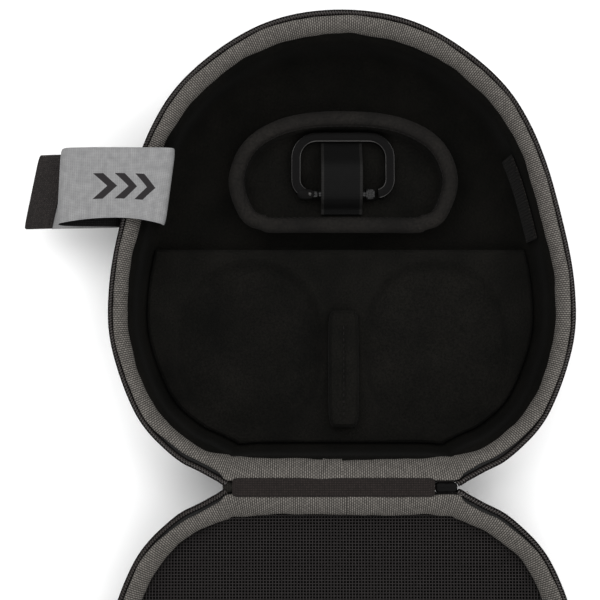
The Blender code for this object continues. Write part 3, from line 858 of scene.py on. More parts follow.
@dataclass(frozen=True)
class CaseFinishes:
    """Every finish of the case."""

    # Ballistic polyester bonded to moulded EVA: coarse dull weave. Threads are 0.5 mm and drawn at 1.0.
    shell: Finish = PlainWeave(
        "ballistic_polyester", "#0b0b0b", "#232323", 0.8, pitch_mm=(1.0, 1.0), specular=0.25
    )
    # Knitted polyester nap on the inner walls: it soaks up nearly all the light.
    lining: Finish = BrushedTricot(
        "brushed_tricot_lining", "#060605", "#0f0e0c", 0.97, sheen=0.01, specular=0.05
    )
    # The same nap over foam, a shade paler where it is stretched.
    padding: Finish = BrushedTricot(
        "brushed_tricot_on_foam", "#070706", "#12110f", 0.95, sheen=0.015, specular=0.06
    )
    # Piped foam under the same cloth pulled tight, a little glossier; its paler tone is partly the tighter
    # cloth and partly painted highlight for the sheen on the raised roll.
    bead: Finish = BrushedTricot(
        "brushed_tricot_piping", "#0d0c0b", "#1b1917", 0.85, sheen=0.02, nap_mm=1.1, specular=0.1
    )
    # Ribbed tape in two yarns, grey-brown and black: looks beaded up close.
    binding: Finish = RibbedTape("ribbed_mottled_tape", "#0e0d0c", "#74706b", 0.82, sheen=0.02, specular=0.12)
    # Plain polyester tape, with a herringbone too fine to see.
    zip_tape: Finish = PlainWeave(
        "zip_tape_polyester", "#0d0b0b", "#231f1e", 0.85, pitch_mm=(0.7, 0.7), specular=0.15
    )
    # Nylon monofilament: the glint on each turn makes a row of dots.
    coil: Finish = MouldedNylon("nylon_monofilament", "#141111", "#3b3532", 0.38, ior=1.53)
    # Brown-black twill over the hinge, finer and browner than the shell.
    hinge: Finish = PlainWeave(
        "brown_black_twill", "#110e0d", "#2b2523", 0.88, sheen=0.01, pitch_mm=(0.8, 1.1), specular=0.15
    )
    # Black canvas under the twill, plain and dull.
    hinge_under: Finish = PlainWeave(
        "black_hinge_canvas", "#0b0a09", "#26241f", 0.88, pitch_mm=(0.9, 0.9), specular=0.15
    )
    # Nylon webbing, woven fine and flat. Its ribs are 0.5 mm and drawn at 0.8.
    webbing: Finish = RibbedTape(
        "black_nylon_webbing", "#040404", "#0e0e0e", 0.75, rib_mm=0.8, bead_mm=0.9, depth_mm=0.05,
        specular=0.08
    )
    # The webbing's folded-in edge yarns: a shade paler than its face.
    selvage: Finish = RibbedTape(
        "webbing_selvage", "#0a0a0a", "#201f1e", 0.7, rib_mm=0.8, bead_mm=0.7, depth_mm=0.06, specular=0.12
    )
    # The strap's inner face: near black, as painted shade for the deep shadow between the folds wherever it
    # looks out.
    strap_inner_painted_shade: Finish = PlainWeave(
        "painted_shade_strap_inner_face", "#080808", "#1a1a1a", 0.9, pitch_mm=(0.9, 0.9), specular=0.08
    )
    # Hook tape: stiff nylon hooks, so that it is a dull brown-black.
    hook: Finish = HookTape("nylon_hook_tape", "#1b1817", "#3a3533", 0.8, specular=0.2)
    # Loop tape: soft tufts, darker and duller than the hooks.
    loop: Finish = HookTape(
        "nylon_loop_tape", "#0b0a09", "#25221f", 0.9, sheen=0.02, tuft_mm=(1.5, 1.5), specular=0.08
    )
    # Polyester net yarn over a dark lining: the grid is just paler than what lies behind it.
    net: Finish = MouldedNylon("net_yarn", "#1c1a1a", "#2f2c2c", 0.7, sheen=0.01, specular=0.12)
    # Knitted elastic over covered rubber: fine black ribs.
    elastic: Finish = RibbedTape(
        "knitted_elastic", "#0b0b0b", "#262423", 0.8, rib_mm=0.9, bead_mm=1.8, specular=0.2
    )
    # Baked paint on zinc: satin black, worn to grey in scattered patches; the frame's chamfers are dressed
    # apart in a paler metal as painted highlight.
    paint: Finish = PaintedMetal("black_baked_paint", "#030303", "#080707", 0.5, specular=0.05)
    # The gate's turned pieces have a thinner, glossier black, so that their knurl glints.
    turned: Finish = PaintedMetal("glossy_black_zinc", "#050505", "#0e0e0e", 0.3, specular=0.3)
    # Paler bare metal: on the frame's chamfers it is painted highlight, a thin grey line along the edges; on
    # the rivet it is the rivet's own steel.
    rivet_steel_and_edge_highlight: Finish = PlatedSteel("rivet_steel_and_painted_edge_highlight", "#232222", "#4a4948", 0.3, metallic=1.0)
    # Stamped steel with a nickel plate: bright grey, finely drawn.
    steel: Finish = PlatedSteel("nickel_plated_steel", "#4f4f4f", "#868584", 0.35, metallic=1.0)
    # Spun polyester sewing threads, one pale and one black.
    pale_thread: Finish = MouldedNylon("pale_sewing_thread", "#6f6a66", "#a39e99", 0.6, specular=0.3)
    dark_thread: Finish = MouldedNylon("black_sewing_thread", "#0c0b0b", "#1b1918", 0.7, specular=0.12)
    floor: Finish = MattPaint("white_sweep", "#f7f7f7", "#fcfcfc", 0.9, specular=0.2)


FINISH = CaseFinishes()


# ---------------------------------------------------------------------------------------------- more shaping


def slab(name: str, loop: Array, rows: Sequence[tuple[float, float]], origin: Array, axes: Array) -> Surface:
    """A plate: a flat loop with rings of (inset, height) for its rounded edges, on any plane.

    Args:
        name: the new object's name.
        loop: the plate's outline in millimetres, counter-clockwise.
        rows: (inset, height) rings in millimetres, from one face to the other.
        origin: the loop's own origin, in metres.
        axes: three unit rows that the loop's first and second directions and its height run along.

    Returns:
        The surface, not yet built.
    """
    rows = np.array(rows, float)
    normals = inward_normals(np.asarray(loop, float), 0)
    plan = loop[None] + normals[None] * rows[:, None, :1]
    height = np.broadcast_to(rows[:, 1:], plan.shape[:2])[..., None]
    return Surface(name, np.asarray(origin) + np.concatenate([plan, height], axis=-1) @ np.asarray(axes) * MM)


def strands(name: str, paths: Array, radius: float, sides: int = 4) -> Piece:
    """Many thin threads in one mesh: a small regular section carried along each path, with capped ends.

    Args:
        name: the new object's name.
        paths: points in metres, shape (threads, points, 3).
        radius: the section's radius in metres.
        sides: the section's sides.

    Returns:
        The new object.
    """
    threads, length = paths.shape[:2]
    tangents = np.gradient(paths, axis=1)
    tangents /= np.linalg.norm(tangents, axis=2, keepdims=True)
    side = np.cross(tangents, [0.0, 0.02, 1.0])
    side /= np.linalg.norm(side, axis=2, keepdims=True)
    normal = np.cross(side, tangents)
    turn = 2 * math.pi * np.arange(sides) / sides
    ring = side[:, :, None] * np.cos(turn)[:, None] + normal[:, :, None] * np.sin(turn)[:, None]
    points = paths[:, :, None] + ring * radius
    i, j = np.meshgrid(np.arange(length - 1), np.arange(sides), indexing="ij")
    k = (j + 1) % sides
    quads = np.stack([i * sides + j, i * sides + k, (i + 1) * sides + k, (i + 1) * sides + j], axis=-1)
    first = np.arange(sides)[::-1]
    caps = np.stack([first, (length - 1) * sides + np.arange(sides)])
    start = np.arange(threads)[:, None, None] * (length * sides)
    faces = (
        quads.reshape(1, -1, 4) + start
    ).reshape(-1, 4).tolist() + (caps[None] + start).reshape(-1, sides).tolist()
    mesh = bpy.data.meshes.new(name)
    mesh.from_pydata(points.reshape(-1, 3).tolist(), [], faces)
    mesh.flip_normals()
    mesh.shade_smooth()
    mesh.validate()
    piece = bpy.data.objects.new(name, mesh)
    bpy.context.scene.collection.objects.link(piece)
    return piece


def ribbon_outline(path: Array, thickness: float) -> Array:
    """A closed outline round an open path: out along one side at half the thickness and back along the
    other.
    """
    tangents = np.gradient(path, axis=0)
    tangents /= np.linalg.norm(tangents, axis=1, keepdims=True)
    left = np.stack([-tangents[:, 1], tangents[:, 0]], axis=1)
    half = np.full((len(path), 1), thickness / 2)
    half[[0, -1]] *= 0.4
    return np.vstack([path + left * half, (path - left * half)[::-1]])


def belt(
    name: str, path: Array, widths: Array, thickness: float, centre: float, edge_shift: Array, skew: Array
) -> Surface:
    """A flat strap that runs along a path in the XZ plane, as wide as it is told along Y.

    Args:
        name: the new object's name.
        path: (x, z) rows in millimetres.
        widths: the strap's width at each row, in millimetres.
        thickness: in millimetres.
        centre: the strap's middle in Y, in millimetres.
        edge_shift: how far the -Y edge is drawn in at each row, in millimetres.
        skew: how far the -Y edge is moved along X at each row, in millimetres, and the rest in proportion.

    Returns:
        The surface, with U along the strap and V across it, and V moved on by 0.1 m on its under face.
    """
    across = np.sin(np.linspace(-math.pi / 2, math.pi / 2, 15))
    across = np.sign(across) * np.abs(across) ** 0.7
    rise = (1 - np.abs(across) ** 10) * 0.5 + 0.04
    section = np.vstack([np.stack([across, rise], 1), np.stack([across, -rise], 1)[::-1]])
    tangents = np.gradient(path, axis=0)
    tangents /= np.linalg.norm(tangents, axis=1, keepdims=True)
    normal = np.stack([tangents[:, 1], -tangents[:, 0]], axis=1)
    lift = section[None, :, 1] * thickness
    y = centre + section[None, :, 0] * widths[:, None] / 2 + edge_shift[:, None] * (
        1 - section[None, :, 0]
    ) / 2
    x = path[:, :1] + normal[:, :1] * lift + skew[:, None] * (1 - section[None, :, 0]) / 2
    z = path[:, 1:] + normal[:, 1:] * lift
    along = run_lengths(path)[:, None] * np.ones_like(y)
    under = np.where(section[:, 1] < 0, 100.0, 0.0)[None]
    uv = np.stack([along, section[None, :, 0] * widths[:, None] / 2 + under], axis=-1)
    uv = np.concatenate([uv, uv[:, :1]], axis=1) * MM
    return Surface(name, np.stack([x, y, z], axis=-1) * MM, uv=uv, sharp_degrees=70)


def dress_columns(piece: Piece, finish: "Finish", rings: int, columns: int, chosen: Iterable[int]) -> None:
    """Gives some columns of a swept piece's faces, the same ones in every ring, a second finish."""
    piece.data.materials.append(finish.material())
    quads = (rings - 1) * columns
    index = np.zeros(len(piece.data.polygons), dtype=np.int32)
    index[:quads] = np.isin(np.arange(quads) % columns, list(chosen))
    piece.data.polygons.foreach_set("material_index", index)


UPRIGHT = np.eye(3)


@dataclass
class Assembly:
    """What every sub-assembly shares: the pieces it has made, and how they are reported."""

    body: str
    made: list = field(default_factory=list)

    def keep(self, piece: Piece, finish: Finish, slot: str, *nodes: str, body: Optional[str] = None) -> Piece:
        """Dresses a piece, lets it ride and stand for its nodes, and notes it.

        Args:
            piece: the new object.
            finish: the finish that covers it.
            slot: the record's material slot; not used.
            nodes: the CAD nodes that it stands for.
            body: the body it rides on, when not the assembly's own; "" when it rides on none.

        Returns:
            The same object.
        """
        finish.dress(piece)
        if body != "":
            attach(piece, body or self.body)
        if nodes:
            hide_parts(*nodes)
        self.made.append(piece)
        return piece

    def report(self) -> None:
        """Logs the pieces made."""
        for piece in self.made:
            LOG.info("%s: %s, %d faces", type(self).__name__, piece.name, len(piece.data.polygons))


@dataclass
class Half(Assembly):
    """One moulded half: shell, lining, binding, zip tape and coil."""

    side: int = 1
    shell_profile: tuple = (
        (21.0, 0.0),
        (13.0, 1.6),
        (7.4, 6.4),
        (4.6, 15.0),
        (2.0, 31.5),
        (2.0, 39.0),
        (3.2, 39.4),
        (5.6, 38.2),
        (7.0, 35.8),
        (8.6, 31.0),
        (10.0, 17.0),
        (13.2, 8.2),
        (21.0, 4.5),
    )
    lining_profile: tuple = (
        (20.6, 4.85),
        (13.6, 8.7),
        (10.4, 17.0),
        (8.9, 31.0),
        (7.3, 35.7),
        (8.1, 36.3),
        (9.9, 33.6),
        (11.1, 30.6),
        (11.9, 17.6),
        (14.8, 10.0),
        (21.4, 6.4),
    )
    binding_profile: tuple = (
        (2.35, 39.95),
        (2.35, 41.0),
        (3.0, 41.5),
        (4.5, 41.35),
        (6.4, 40.3),
        (7.8, 38.6),
        (8.6, 36.6),
        (8.6, 35.6),
        (7.9, 35.9),
        (7.1, 38.0),
        (5.7, 39.4),
        (3.7, 39.95),
    )
    tape_profile: tuple = (
        (0.05, 41.0),
        (0.4, 41.15),
        (0.6, 40.2),
        (0.95, 39.7),
        (2.15, 39.5),
        (2.15, 31.0),
        (0.9, 31.0),
        (0.7, 38.6),
        (0.1, 39.8),
    )
    coil_centre: tuple[float, float] = (1.3, 40.9)
    coil_radii: tuple[float, float] = (0.62, 0.5)
    coil_wire: float = 0.27
    coil_pitch: float = 1.38
    joint_x: float = 3.0
    overlap: int = 5
    extra_reach: float = 0.0

    def build(self) -> None:
        """Makes and dresses all the half's pieces."""
        half = self.body
        shell = bowl(f"{half}_shell_cloth", OUTLINE, rounded(self.shell_profile, 3, closed=False), self.side)
        self.keep(shell.build(), FINISH.shell, "shell_fabric", f"{half}_shell")
        lining = bowl(f"{half}_lining_nap", OUTLINE, rounded(self.lining_profile, 2, closed=False), self.side)
        self.keep(lining.build(), FINISH.lining, "lining", f"{half}_lining")
        self.keep(self.binding().build(), FINISH.binding, "binding", f"{half}_binding")
        tape = swept(f"{half}_zip_tape_web", ZIP_RUN, rounded(self.tape_profile, 1), self.side, Ends.CAPPED)
        self.keep(tape.build(), FINISH.zip_tape, "zip_tape", f"{half}_zip_tape")
        self.keep(self.coil().build(), FINISH.coil, "zip_coil", f"{half}_zip_coil")
        self.report()

    def binding(self) -> Surface:
        """The tape round the rim, one length whose ends lap over each other on the hinge side.

        The lap's upper end is lifted by a smooth step, the joint's right side is drawn narrower, and slow
        waves
        move both edges, the inner one most.
        """
        count = len(OUTLINE.points)
        hinge = np.arange(RIM.run_count(), count)
        start = hinge[np.argmin(np.abs(OUTLINE.points[hinge, 0] - self.joint_x))]
        order = np.arange(
            start - (self.overlap if self.side > 0 else 0),
            start + count + (0 if self.side > 0 else self.overlap)
        )
        outline = OUTLINE.part(order % count)
        profile = rounded(self.binding_profile, 2)
        along = run_lengths(outline.points)
        inner = smoothstep(profile[:, 0], 4.0, 8.2)[None, :]
        over = smoothstep(
            along, along[-1] - 22, along[-1] - 12
        ) if self.side > 0 else 1 - smoothstep(along, 12, 22)
        across = inner * slow_waves(along, 5 + self.side, 60.0)[:, None] * 0.38
        across = across + (1 - inner) * slow_waves(along, 15 + self.side, 45.0)[:, None] * 0.18
        on_hinge = smoothstep(-outline.points[:, 1], -9.0, -2.0)
        narrow = on_hinge * smoothstep(outline.points[:, 0], -12, 2) * (
            1 - smoothstep(outline.points[:, 0], 20, 52)
        )
        narrow = narrow * (1 - over) if self.side > 0 else np.zeros_like(narrow)
        corner = smoothstep(outline.points[:, 1], 0, 4) * (1 - smoothstep(outline.points[:, 1], 12, 34))
        across = across + 1.1 * (1 - inner) * corner[:, None]
        slope = np.stack([np.ones_like(across), np.full_like(across, -0.95)], axis=-1)
        from_corner = np.hypot(
            np.abs(outline.points[:, 0]) - RIM.side[0][0], outline.points[:, 1] - RIM.side[0][1]
        )
        reach = self.extra_reach * (1 - on_hinge) + 1.5 * on_hinge - 0.3 * narrow
        reach = reach + 1.3 * np.exp(-((from_corner / 9) ** 2))
        shift = slope * (across + inner * reach[:, None])[..., None]
        shift += over[:, None, None] * np.array([0.12, 0.42]) * 0.9
        return swept(f"{self.body}_binding_tape", outline, profile, self.side, Ends.CAPPED, shift)

    def coil(self) -> Surface:
        """The zip's coil: a helix round the rim's run, one turn a pitch, flattened to the coil's own oval."""
        both = np.hstack([ZIP_RUN.points, ZIP_RUN.steps])
        length = run_lengths(ZIP_RUN.points)[-1]
        turns = int(length / self.coil_pitch)
        fine = respaced_by(both, run_lengths(ZIP_RUN.points), turns * 7)
        angle = np.linspace(0, 2 * math.pi * turns, len(fine))
        inward = self.coil_centre[0] + self.coil_radii[0] * np.cos(angle)
        height = self.coil_centre[1] + self.coil_radii[1] * np.sin(angle)
        path = world(fine[:, :2] + fine[:, 2:] * inward[:, None], height, self.side)
        out = world(
            fine[:, :2] + fine[:, 2:] * (inward + np.cos(angle))[:, None], height + np.sin(angle), self.side
        ) - path
        return tube(
            f"{self.body}_zip_coil_turns", path, ellipse(self.coil_wire * MM, self.coil_wire * MM, 5), out
        )


def respaced_by(rows: Array, along: Array, count: int) -> Array:
    """Rows read off at count even steps of a running length."""
    at = np.linspace(0.0, along[-1], count)
    return np.stack([np.interp(at, along, rows[:, k]) for k in range(rows.shape[1])], axis=1)


@dataclass
class Hinge(Assembly):
    """The fabric hinge: a canvas strip from wall to wall, the twill patch over it, and its stitches."""

    flap_x: tuple[float, float] = (-56.0, 43.1)
    patch_x: tuple[float, float] = (-51.5, 43.3)
    strip_path: tuple = (
        (1.9, 30.0),
        (1.9, 34.0),
        (1.9, 38.0),
        (1.6, 39.7),
        (0.9, 40.6),
        (0.0, 40.8),
        (-0.9, 40.6),
        (-1.6, 39.7),
        (-1.9, 38.0),
        (-1.9, 34.0),
        (-1.9, 30.0),
    )
    patch_path: tuple = (
        (4.4, 41.62),
        (3.7, 41.76),
        (2.6, 41.72),
        (1.1, 41.5),
        (0.0, 41.42),
        (-1.1, 41.5),
        (-2.6, 41.72),
        (-3.7, 41.76),
        (-4.4, 41.62),
    )
    stitch_mm: float = 2.3

    def build(self) -> None:
        """Makes the strip and the patch, which ride on no body, and the stitches along the patch."""
        strip = self.seated(self.across("hinge_canvas", self.strip_path, self.flap_x, 0.9, 0.0))
        self.keep(
            strip.build(), FINISH.hinge_under, "hinge_fabric", "base_hinge_flap", "lid_hinge_flap", body=""
        )
        patch = self.across("hinge_patch_twill", self.patch_path, self.patch_x, 0.34, 1.2)
        self.keep(patch.build(), FINISH.hinge, "hinge_fabric", "base_hinge_patch", "lid_hinge_patch", body="")
        for piece, reach in zip(self.made, (0.0016, 0.0022)):
            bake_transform(piece)
        self.stitches()
        self.report()

    def across(
        self, name: str, path: tuple, reach: tuple[float, float], thickness: float, corner: float
    ) -> Surface:
        """A closed ribbon section across the hinge, carried along X; corner draws its ends in by a round."""
        section = ribbon_outline(catmull_rom(np.array(path), 4), thickness)
        x = np.linspace(*reach, 72)
        from_end = np.minimum(x - reach[0], reach[1] - x)
        draw = corner * (1 - np.sqrt(1 - np.clip(1 - from_end / 3.0, 0, 1) ** 2))
        y = section[None, :, 0] - np.sign(section[None, :, 0]) * draw[:, None] * smoothstep(
            np.abs(section[:, 0]), 2, 5
        )
        z = section[None, :, 1] + 0.05 * slow_waves(x, 3, 40.0)[:, None] * np.ones_like(y)
        grid = np.stack([np.broadcast_to(x[:, None], y.shape), y + HINGE_Y / MM, z], axis=-1) * MM
        return Surface(name, grid, sharp_degrees=60)

    def seated(self, strip: Surface) -> Surface:
        """The canvas past the patch's left end, spread to both walls and a little lower."""
        x, y, z = np.moveaxis(strip.grid / MM, -1, 0)
        past = smoothstep(-x, -self.patch_x[0], 2.0 - self.patch_x[0])
        y = HINGE_Y / MM + (y - HINGE_Y / MM) * (1 + 0.34 * past)
        strip.grid = np.stack([x, y, z - 0.6 * past], axis=-1) * MM
        return strip

    def stitches(self) -> None:
        """A row of lock stitches along each long edge of the patch, in dark thread."""
        low, high = self.patch_x[0] + 1.5, self.patch_x[1] - 1.2
        x = np.arange(low, high, self.stitch_mm)
        along, up = np.array([1.0, 0, 0]), np.array([0, 0, 1.0])
        drift = 0.25 * slow_waves(x, 8, 50.0)
        for side, body in ((1, "base"), (-1, "lid")):
            y = HINGE_Y + side * (3.85 + 0.5 * drift) * MM
            centres = np.stack([x * MM, y, np.full_like(x, 41.86 * MM)], axis=1)
            ones = np.ones((len(x), 1))
            radii = (0.82 * MM, 0.24 * MM, 0.14 * MM)
            row = beads_along(f"{body}_hinge_stitches", centres, along * ones, up * ones, radii)
            self.keep(row, FINISH.dark_thread, "binding", body=body)


@dataclass
class ZipEnd(Assembly):
    """The slider parked at the zip's right end with its bail and pull, and the frayed end of the tape."""

    x: float = 48.6
    slider_z: tuple[float, float] = (36.9, 41.5)
    axis_z: float = 33.9

    def build(self) -> None:
        """Makes and dresses the slider, the bail, the pull and the tape's end."""
        self.keep(self.slider().build(), FINISH.paint, "black_metal", "zip_slider")
        self.keep(self.bail().build(), FINISH.steel, "steel", "zip_slider_bail")
        self.keep(self.pull(), FINISH.paint, "black_metal", "zip_pull", body="zip_pull")
        self.tape_runs()
        self.tape_end()
        self.report()

    def slider(self) -> Surface:
        """A waisted pill: a superellipse whose width falls by a tenth at its middle, with rounded edges."""
        loop = ellipse(5.1, 2.4, 48, power=4.2)
        loop[:, 1] *= 1 - 0.12 * np.exp(-((loop[:, 0] / 1.6) ** 2))
        low, high = self.slider_z
        rows = (
            (0.7, low), (0.2, low + 0.25), (0.0, low + 0.8), (0.0, high - 1.0), (0.25, high - 0.35),
            (0.9, high)
        )
        return slab("zip_slider_body", loop, rows, ((self.x + 0.2) * MM, HINGE_Y, 0), UPRIGHT)

    def bail(self) -> Surface:
        """A stamped loop under the slider: a flat bar along a U that hangs in the XZ plane."""
        turn = np.linspace(math.pi, 2 * math.pi, 17)
        bow = np.stack([1.95 * np.cos(turn), 1.5 * np.sin(turn)], axis=1)
        u_path = np.vstack([[[-1.95, 2.65], [-1.95, 1.3]], bow, [[1.95, 1.3], [1.95, 2.65]]])
        path = np.stack(
            [self.x + u_path[:, 0], np.full(len(u_path), HINGE_Y / MM), self.axis_z + u_path[:, 1]], 1
        ) * MM
        return tube(
            "zip_bail_loop", path, ellipse(1.05 * MM, 0.42 * MM, 16, power=4), up=self.from_axis(path)
        )

    def from_axis(self, path: Array) -> Array:
        """Directions away from the pull's axis, for the bail's section."""
        out = path - np.array([self.x * MM, HINGE_Y, (self.axis_z + 1.0) * MM])
        return out / np.linalg.norm(out, axis=1, keepdims=True)

    def pull(self) -> Piece:
        """The pull: a pin, two cheeks beside the bail, and a tab with a ridge round it."""
        origin = np.array([self.x * MM, HINGE_Y, self.axis_z * MM])
        pin_rows = np.array([[0, 0.0], [0.0, 0.7], [0.2, 0.9], [3.8, 0.9], [4.0, 0.7], [4.0, 0.0]]) * MM
        pin_rows[[0, -1], 1] = 0.02 * MM
        pin = turned("pull_pin", origin - [0, 2.0 * MM, 0], np.array([0.0, 1.0, 0.0]), pin_rows, 20)
        upright = np.array([[1.0, 0, 0], [0, 0, 1.0], [0, -1.0, 0]])
        pieces = [pin.build()]
        cheek = ellipse(1.75, 3.3, 32, power=4)
        cheek[:, 1] -= 1.9
        for sign in (-1, 1):
            rows = (
                (0.3, sign * 1.87 - 0.42), (0.0, sign * 1.87 - 0.2), (0.0, sign * 1.87 + 0.2),
                (0.3, sign * 1.87 + 0.42)
            )
            pieces.append(slab("pull_cheek", cheek, rows, origin, upright).build())
        bridge = ellipse(1.75, 0.95, 24, power=5)
        bridge[:, 1] -= 4.3
        pieces.append(
            slab("pull_bridge", bridge, ((0.1, -2.0), (0.0, -1.8), (0.0, 1.8), (0.1, 2.0)), origin,
            upright).build()
        )
        tab = ellipse(3.0, 11.4, 64, power=4)
        tab[:, 1] -= 16.4
        tab[:, 0] *= 1 - 0.22 * smoothstep(tab[:, 1], -14, -6)
        rows = (
            (1.3, -0.45), (1.0, -0.7), (0.5, -0.7), (0.0, -0.35), (0.0, 0.35), (0.5, 0.7), (1.0, 0.7),
            (1.3, 0.45)
        )
        pieces.append(slab("pull_tab", tab, rows, origin, upright).build())
        return joined("zip_pull_body", pieces)

    def tape_runs(self) -> None:
        """Both tapes' last run, along the walls beside the slider: upright strips with rounded ends."""
        for side, body in ((1, "base"), (-1, "lid")):
            loop = ellipse(6.6, 0.22, 40, power=6) + [48.4, side * 2.62]
            rows = ((0.1, 33.0), (0.0, 33.4), (0.0, 40.4), (0.1, 40.8))
            run = slab(f"{body}_zip_tape_run", loop, rows, (0.0, HINGE_Y, 0.0), UPRIGHT)
            self.keep(run.build(), FINISH.zip_tape, "zip_tape", body=body)

    def tape_end(self) -> None:
        """The tape's cut end beside the slider: a small tongue of cloth and the threads that fray from it."""
        x = np.linspace(54.6, 58.2, 12)
        path = np.stack([x, 38.6 + 0.5 * np.sin((x - 54.6) / 3.6 * 2.2)], axis=1)
        width = 2.4 - 0.5 * smoothstep(x, 56.5, 58.2)
        edge = 0.3 * slow_waves(x, 4, 5.0)
        tongue = belt("lid_zip_tape_end", path, width, 0.5, HINGE_Y / MM - 2.9, edge, 0 * edge)
        self.keep(tongue.build(), FINISH.pale_thread, "zip_tape", body="lid")
        seeds = np.random.default_rng(11)
        t = np.linspace(0, 1, 6)[None, :]
        start = seeds.uniform(-1.0, 1.0, (9, 1))
        bend = seeds.uniform(-0.7, 0.7, (9, 1))
        reach = seeds.uniform(0.9, 2.0, (9, 1))
        paths = np.stack(
            [58.0 + reach * t, HINGE_Y / MM - 2.9 + start + bend * t * t, 39.0 - 0.8 * t * t + 0 * start],
            axis=-1
        )
        self.keep(
            strands("lid_zip_tape_fray", paths * MM, 0.09 * MM), FINISH.pale_thread, "zip_tape", body="lid"
        )


@dataclass
class Interior(Assembly):
    """The padded mouldings of the base: ear-cup insert, divider with its magnet, and accessory pocket."""

    centre_x: float = 1.5
    insert_wall: tuple = (
        (7.0, 6.8), (2.8, 7.6), (0.6, 10.0), (0.0, 11.6), (0.1, 12.6), (0.6, 13.2), (1.4, 13.5)
    )
    insert_end: float = 118.0
    well_half: tuple[float, float] = (36.5, 43.5)
    well_spread: float = 45.5
    well_d: float = 66.5
    well_depth: float = 4.2
    divider_size: tuple[float, float, float] = (14.8, 57.0, 7.2)
    divider_d: float = 56.0
    magnet_size: tuple[float, float, float] = (8.0, 40.0, 3.0)
    pocket_side: tuple = (
        (0.0, 0.0),
        (18.0, 0.0),
        (36.0, 0.0),
        (49.5, 6.0),
        (56.5, 26.0),
        (48.5, 46.0),
        (28.0, 57.6),
        (0.0, 60.6),
    )
    pocket_d: float = 122.4
    pocket_profile: tuple = ((4.5, 6.8), (3.0, 9.0), (1.6, 15.0), (7.0, 15.0), (8.0, 9.6), (9.6, 8.3))
    bead_centre: tuple[float, float] = (3.9, 18.6)
    bead_radii: tuple[float, float] = (3.75, 3.15)

    def build(self) -> None:
        """Makes and dresses the insert, the divider, the magnet, the pocket and its bead."""
        insert = self.keep(self.insert().build(), FINISH.padding, "padding", "ear_cup_insert")
        divider = self.keep(self.divider(), FINISH.padding, "padding", "centre_divider")
        self.keep(self.magnet().build(), FINISH.steel, "magnet", "sleep_magnet")
        outline = self.pocket_outline()
        shell = bowl("pocket_shell", outline, rounded(self.pocket_profile, 2, closed=False), 1)
        self.keep(shell.build(), FINISH.padding, "padding", "accessory_pocket")
        # The bead's paler finish holds painted highlight for the sheen on the raised roll.
        bead = self.keep(self.bead(outline).build(), FINISH.bead, "padding", "pocket_bead")
        self.seams(outline)
        self.report()

    def insert(self) -> Surface:
        """The insert inside the rim's lower part: a low pad with two oval wells let into its top.

        A well goes down by its depth times a smooth step of (1 - r), where r is the oval's own radius.
        """
        inner = OUTLINE.points + OUTLINE.steps * 15.6
        low = OUTLINE.points[:, 1] < self.insert_end
        first = np.flatnonzero(low & (OUTLINE.points[:, 0] < 0))[0]
        order = (first + np.arange(low.sum())) % len(inner)
        side = inner[order]
        back = np.linspace(side[-1], side[0], 60)[1:-1]
        loop = respaced(catmull_rom(np.vstack([side, back]), 1, closed=True), 261)[:-1]
        return cushion("insert_pad", loop, np.array(self.insert_wall), self.wells, 56)

    def wells(self, x: Array, d: Array) -> Array:
        """The height of the insert's top at (x, d), from 0 at its edge."""
        crown = 0.35 * slow_waves(x, 21, 120.0, 3) * 0.3
        down = np.zeros_like(x)
        for sign in (-1, 1):
            off_x = (x - self.centre_x - sign * self.well_spread) / self.well_half[0]
            off_d = (d - self.well_d) / self.well_half[1]
            radius = (np.abs(off_x) ** 2.3 + np.abs(off_d) ** 2.3) ** (1 / 2.3)
            down = np.maximum(down, 1 - smoothstep(radius, 0.86, 1.02))
        return crown - self.well_depth * down

    def divider(self) -> Piece:
        """A loaf-shaped pad with a crowned top and a stitched channel down its middle."""
        width, length, _ = self.divider_size
        loop = ellipse(width / 2, length / 2, 120, power=7) + [self.centre_x, self.divider_d]
        base = 13.8
        wall = np.array(
            [(1.0, base), (0.2, base + 0.5), (0.0, base + 2.2), (0.15, base + 4.6), (0.7, base + 6.0),
            (1.6, base + 6.6)]
        )

        def crown(x: Array, d: Array) -> Array:
            """Crowned by 0.6 mm, less a groove of 1 mm at the middle that closes towards the ends."""
            off = (x - self.centre_x) / (width / 2)
            ends = 1 - smoothstep(np.abs(d - self.divider_d), length / 2 - 5, length / 2 - 1)
            return 0.6 * (1 - off**2) - 1.1 * ends * np.exp(-((off / 0.11) ** 2))

        return cushion("divider_pad", loop, wall, crown, 30).build()

    def magnet(self) -> Surface:
        """A bar magnet with slightly rounded edges."""
        width, length, height = self.magnet_size
        loop = ellipse(width / 2, length / 2, 64, power=14)
        rows = ((0.3, 14.1), (0.0, 14.35), (0.0, 14.1 + height - 0.25), (0.3, 14.1 + height))
        return slab("magnet_bar", loop, rows, (self.centre_x * MM, HINGE_Y + self.divider_d * MM, 0), UPRIGHT)

    def pocket_outline(self) -> PlanOutline:
        """The pocket's D outline, on a smooth curve, in the rim's own plan coordinates."""
        side = np.array(self.pocket_side)
        bend = side[2:]
        past = np.vstack([bend, bend[-2:-1] * [-1.0, 1.0]])
        curve = catmull_rom(past, 3)[: 3 * (len(bend) - 1) + 1]
        points = mirrored_side(np.vstack([side[:2], curve]))[:-1]
        outline = PlanOutline(points, inward_normals(points, 2)).finer(5)
        return PlanOutline(outline.points + [self.centre_x, self.pocket_d], outline.steps)

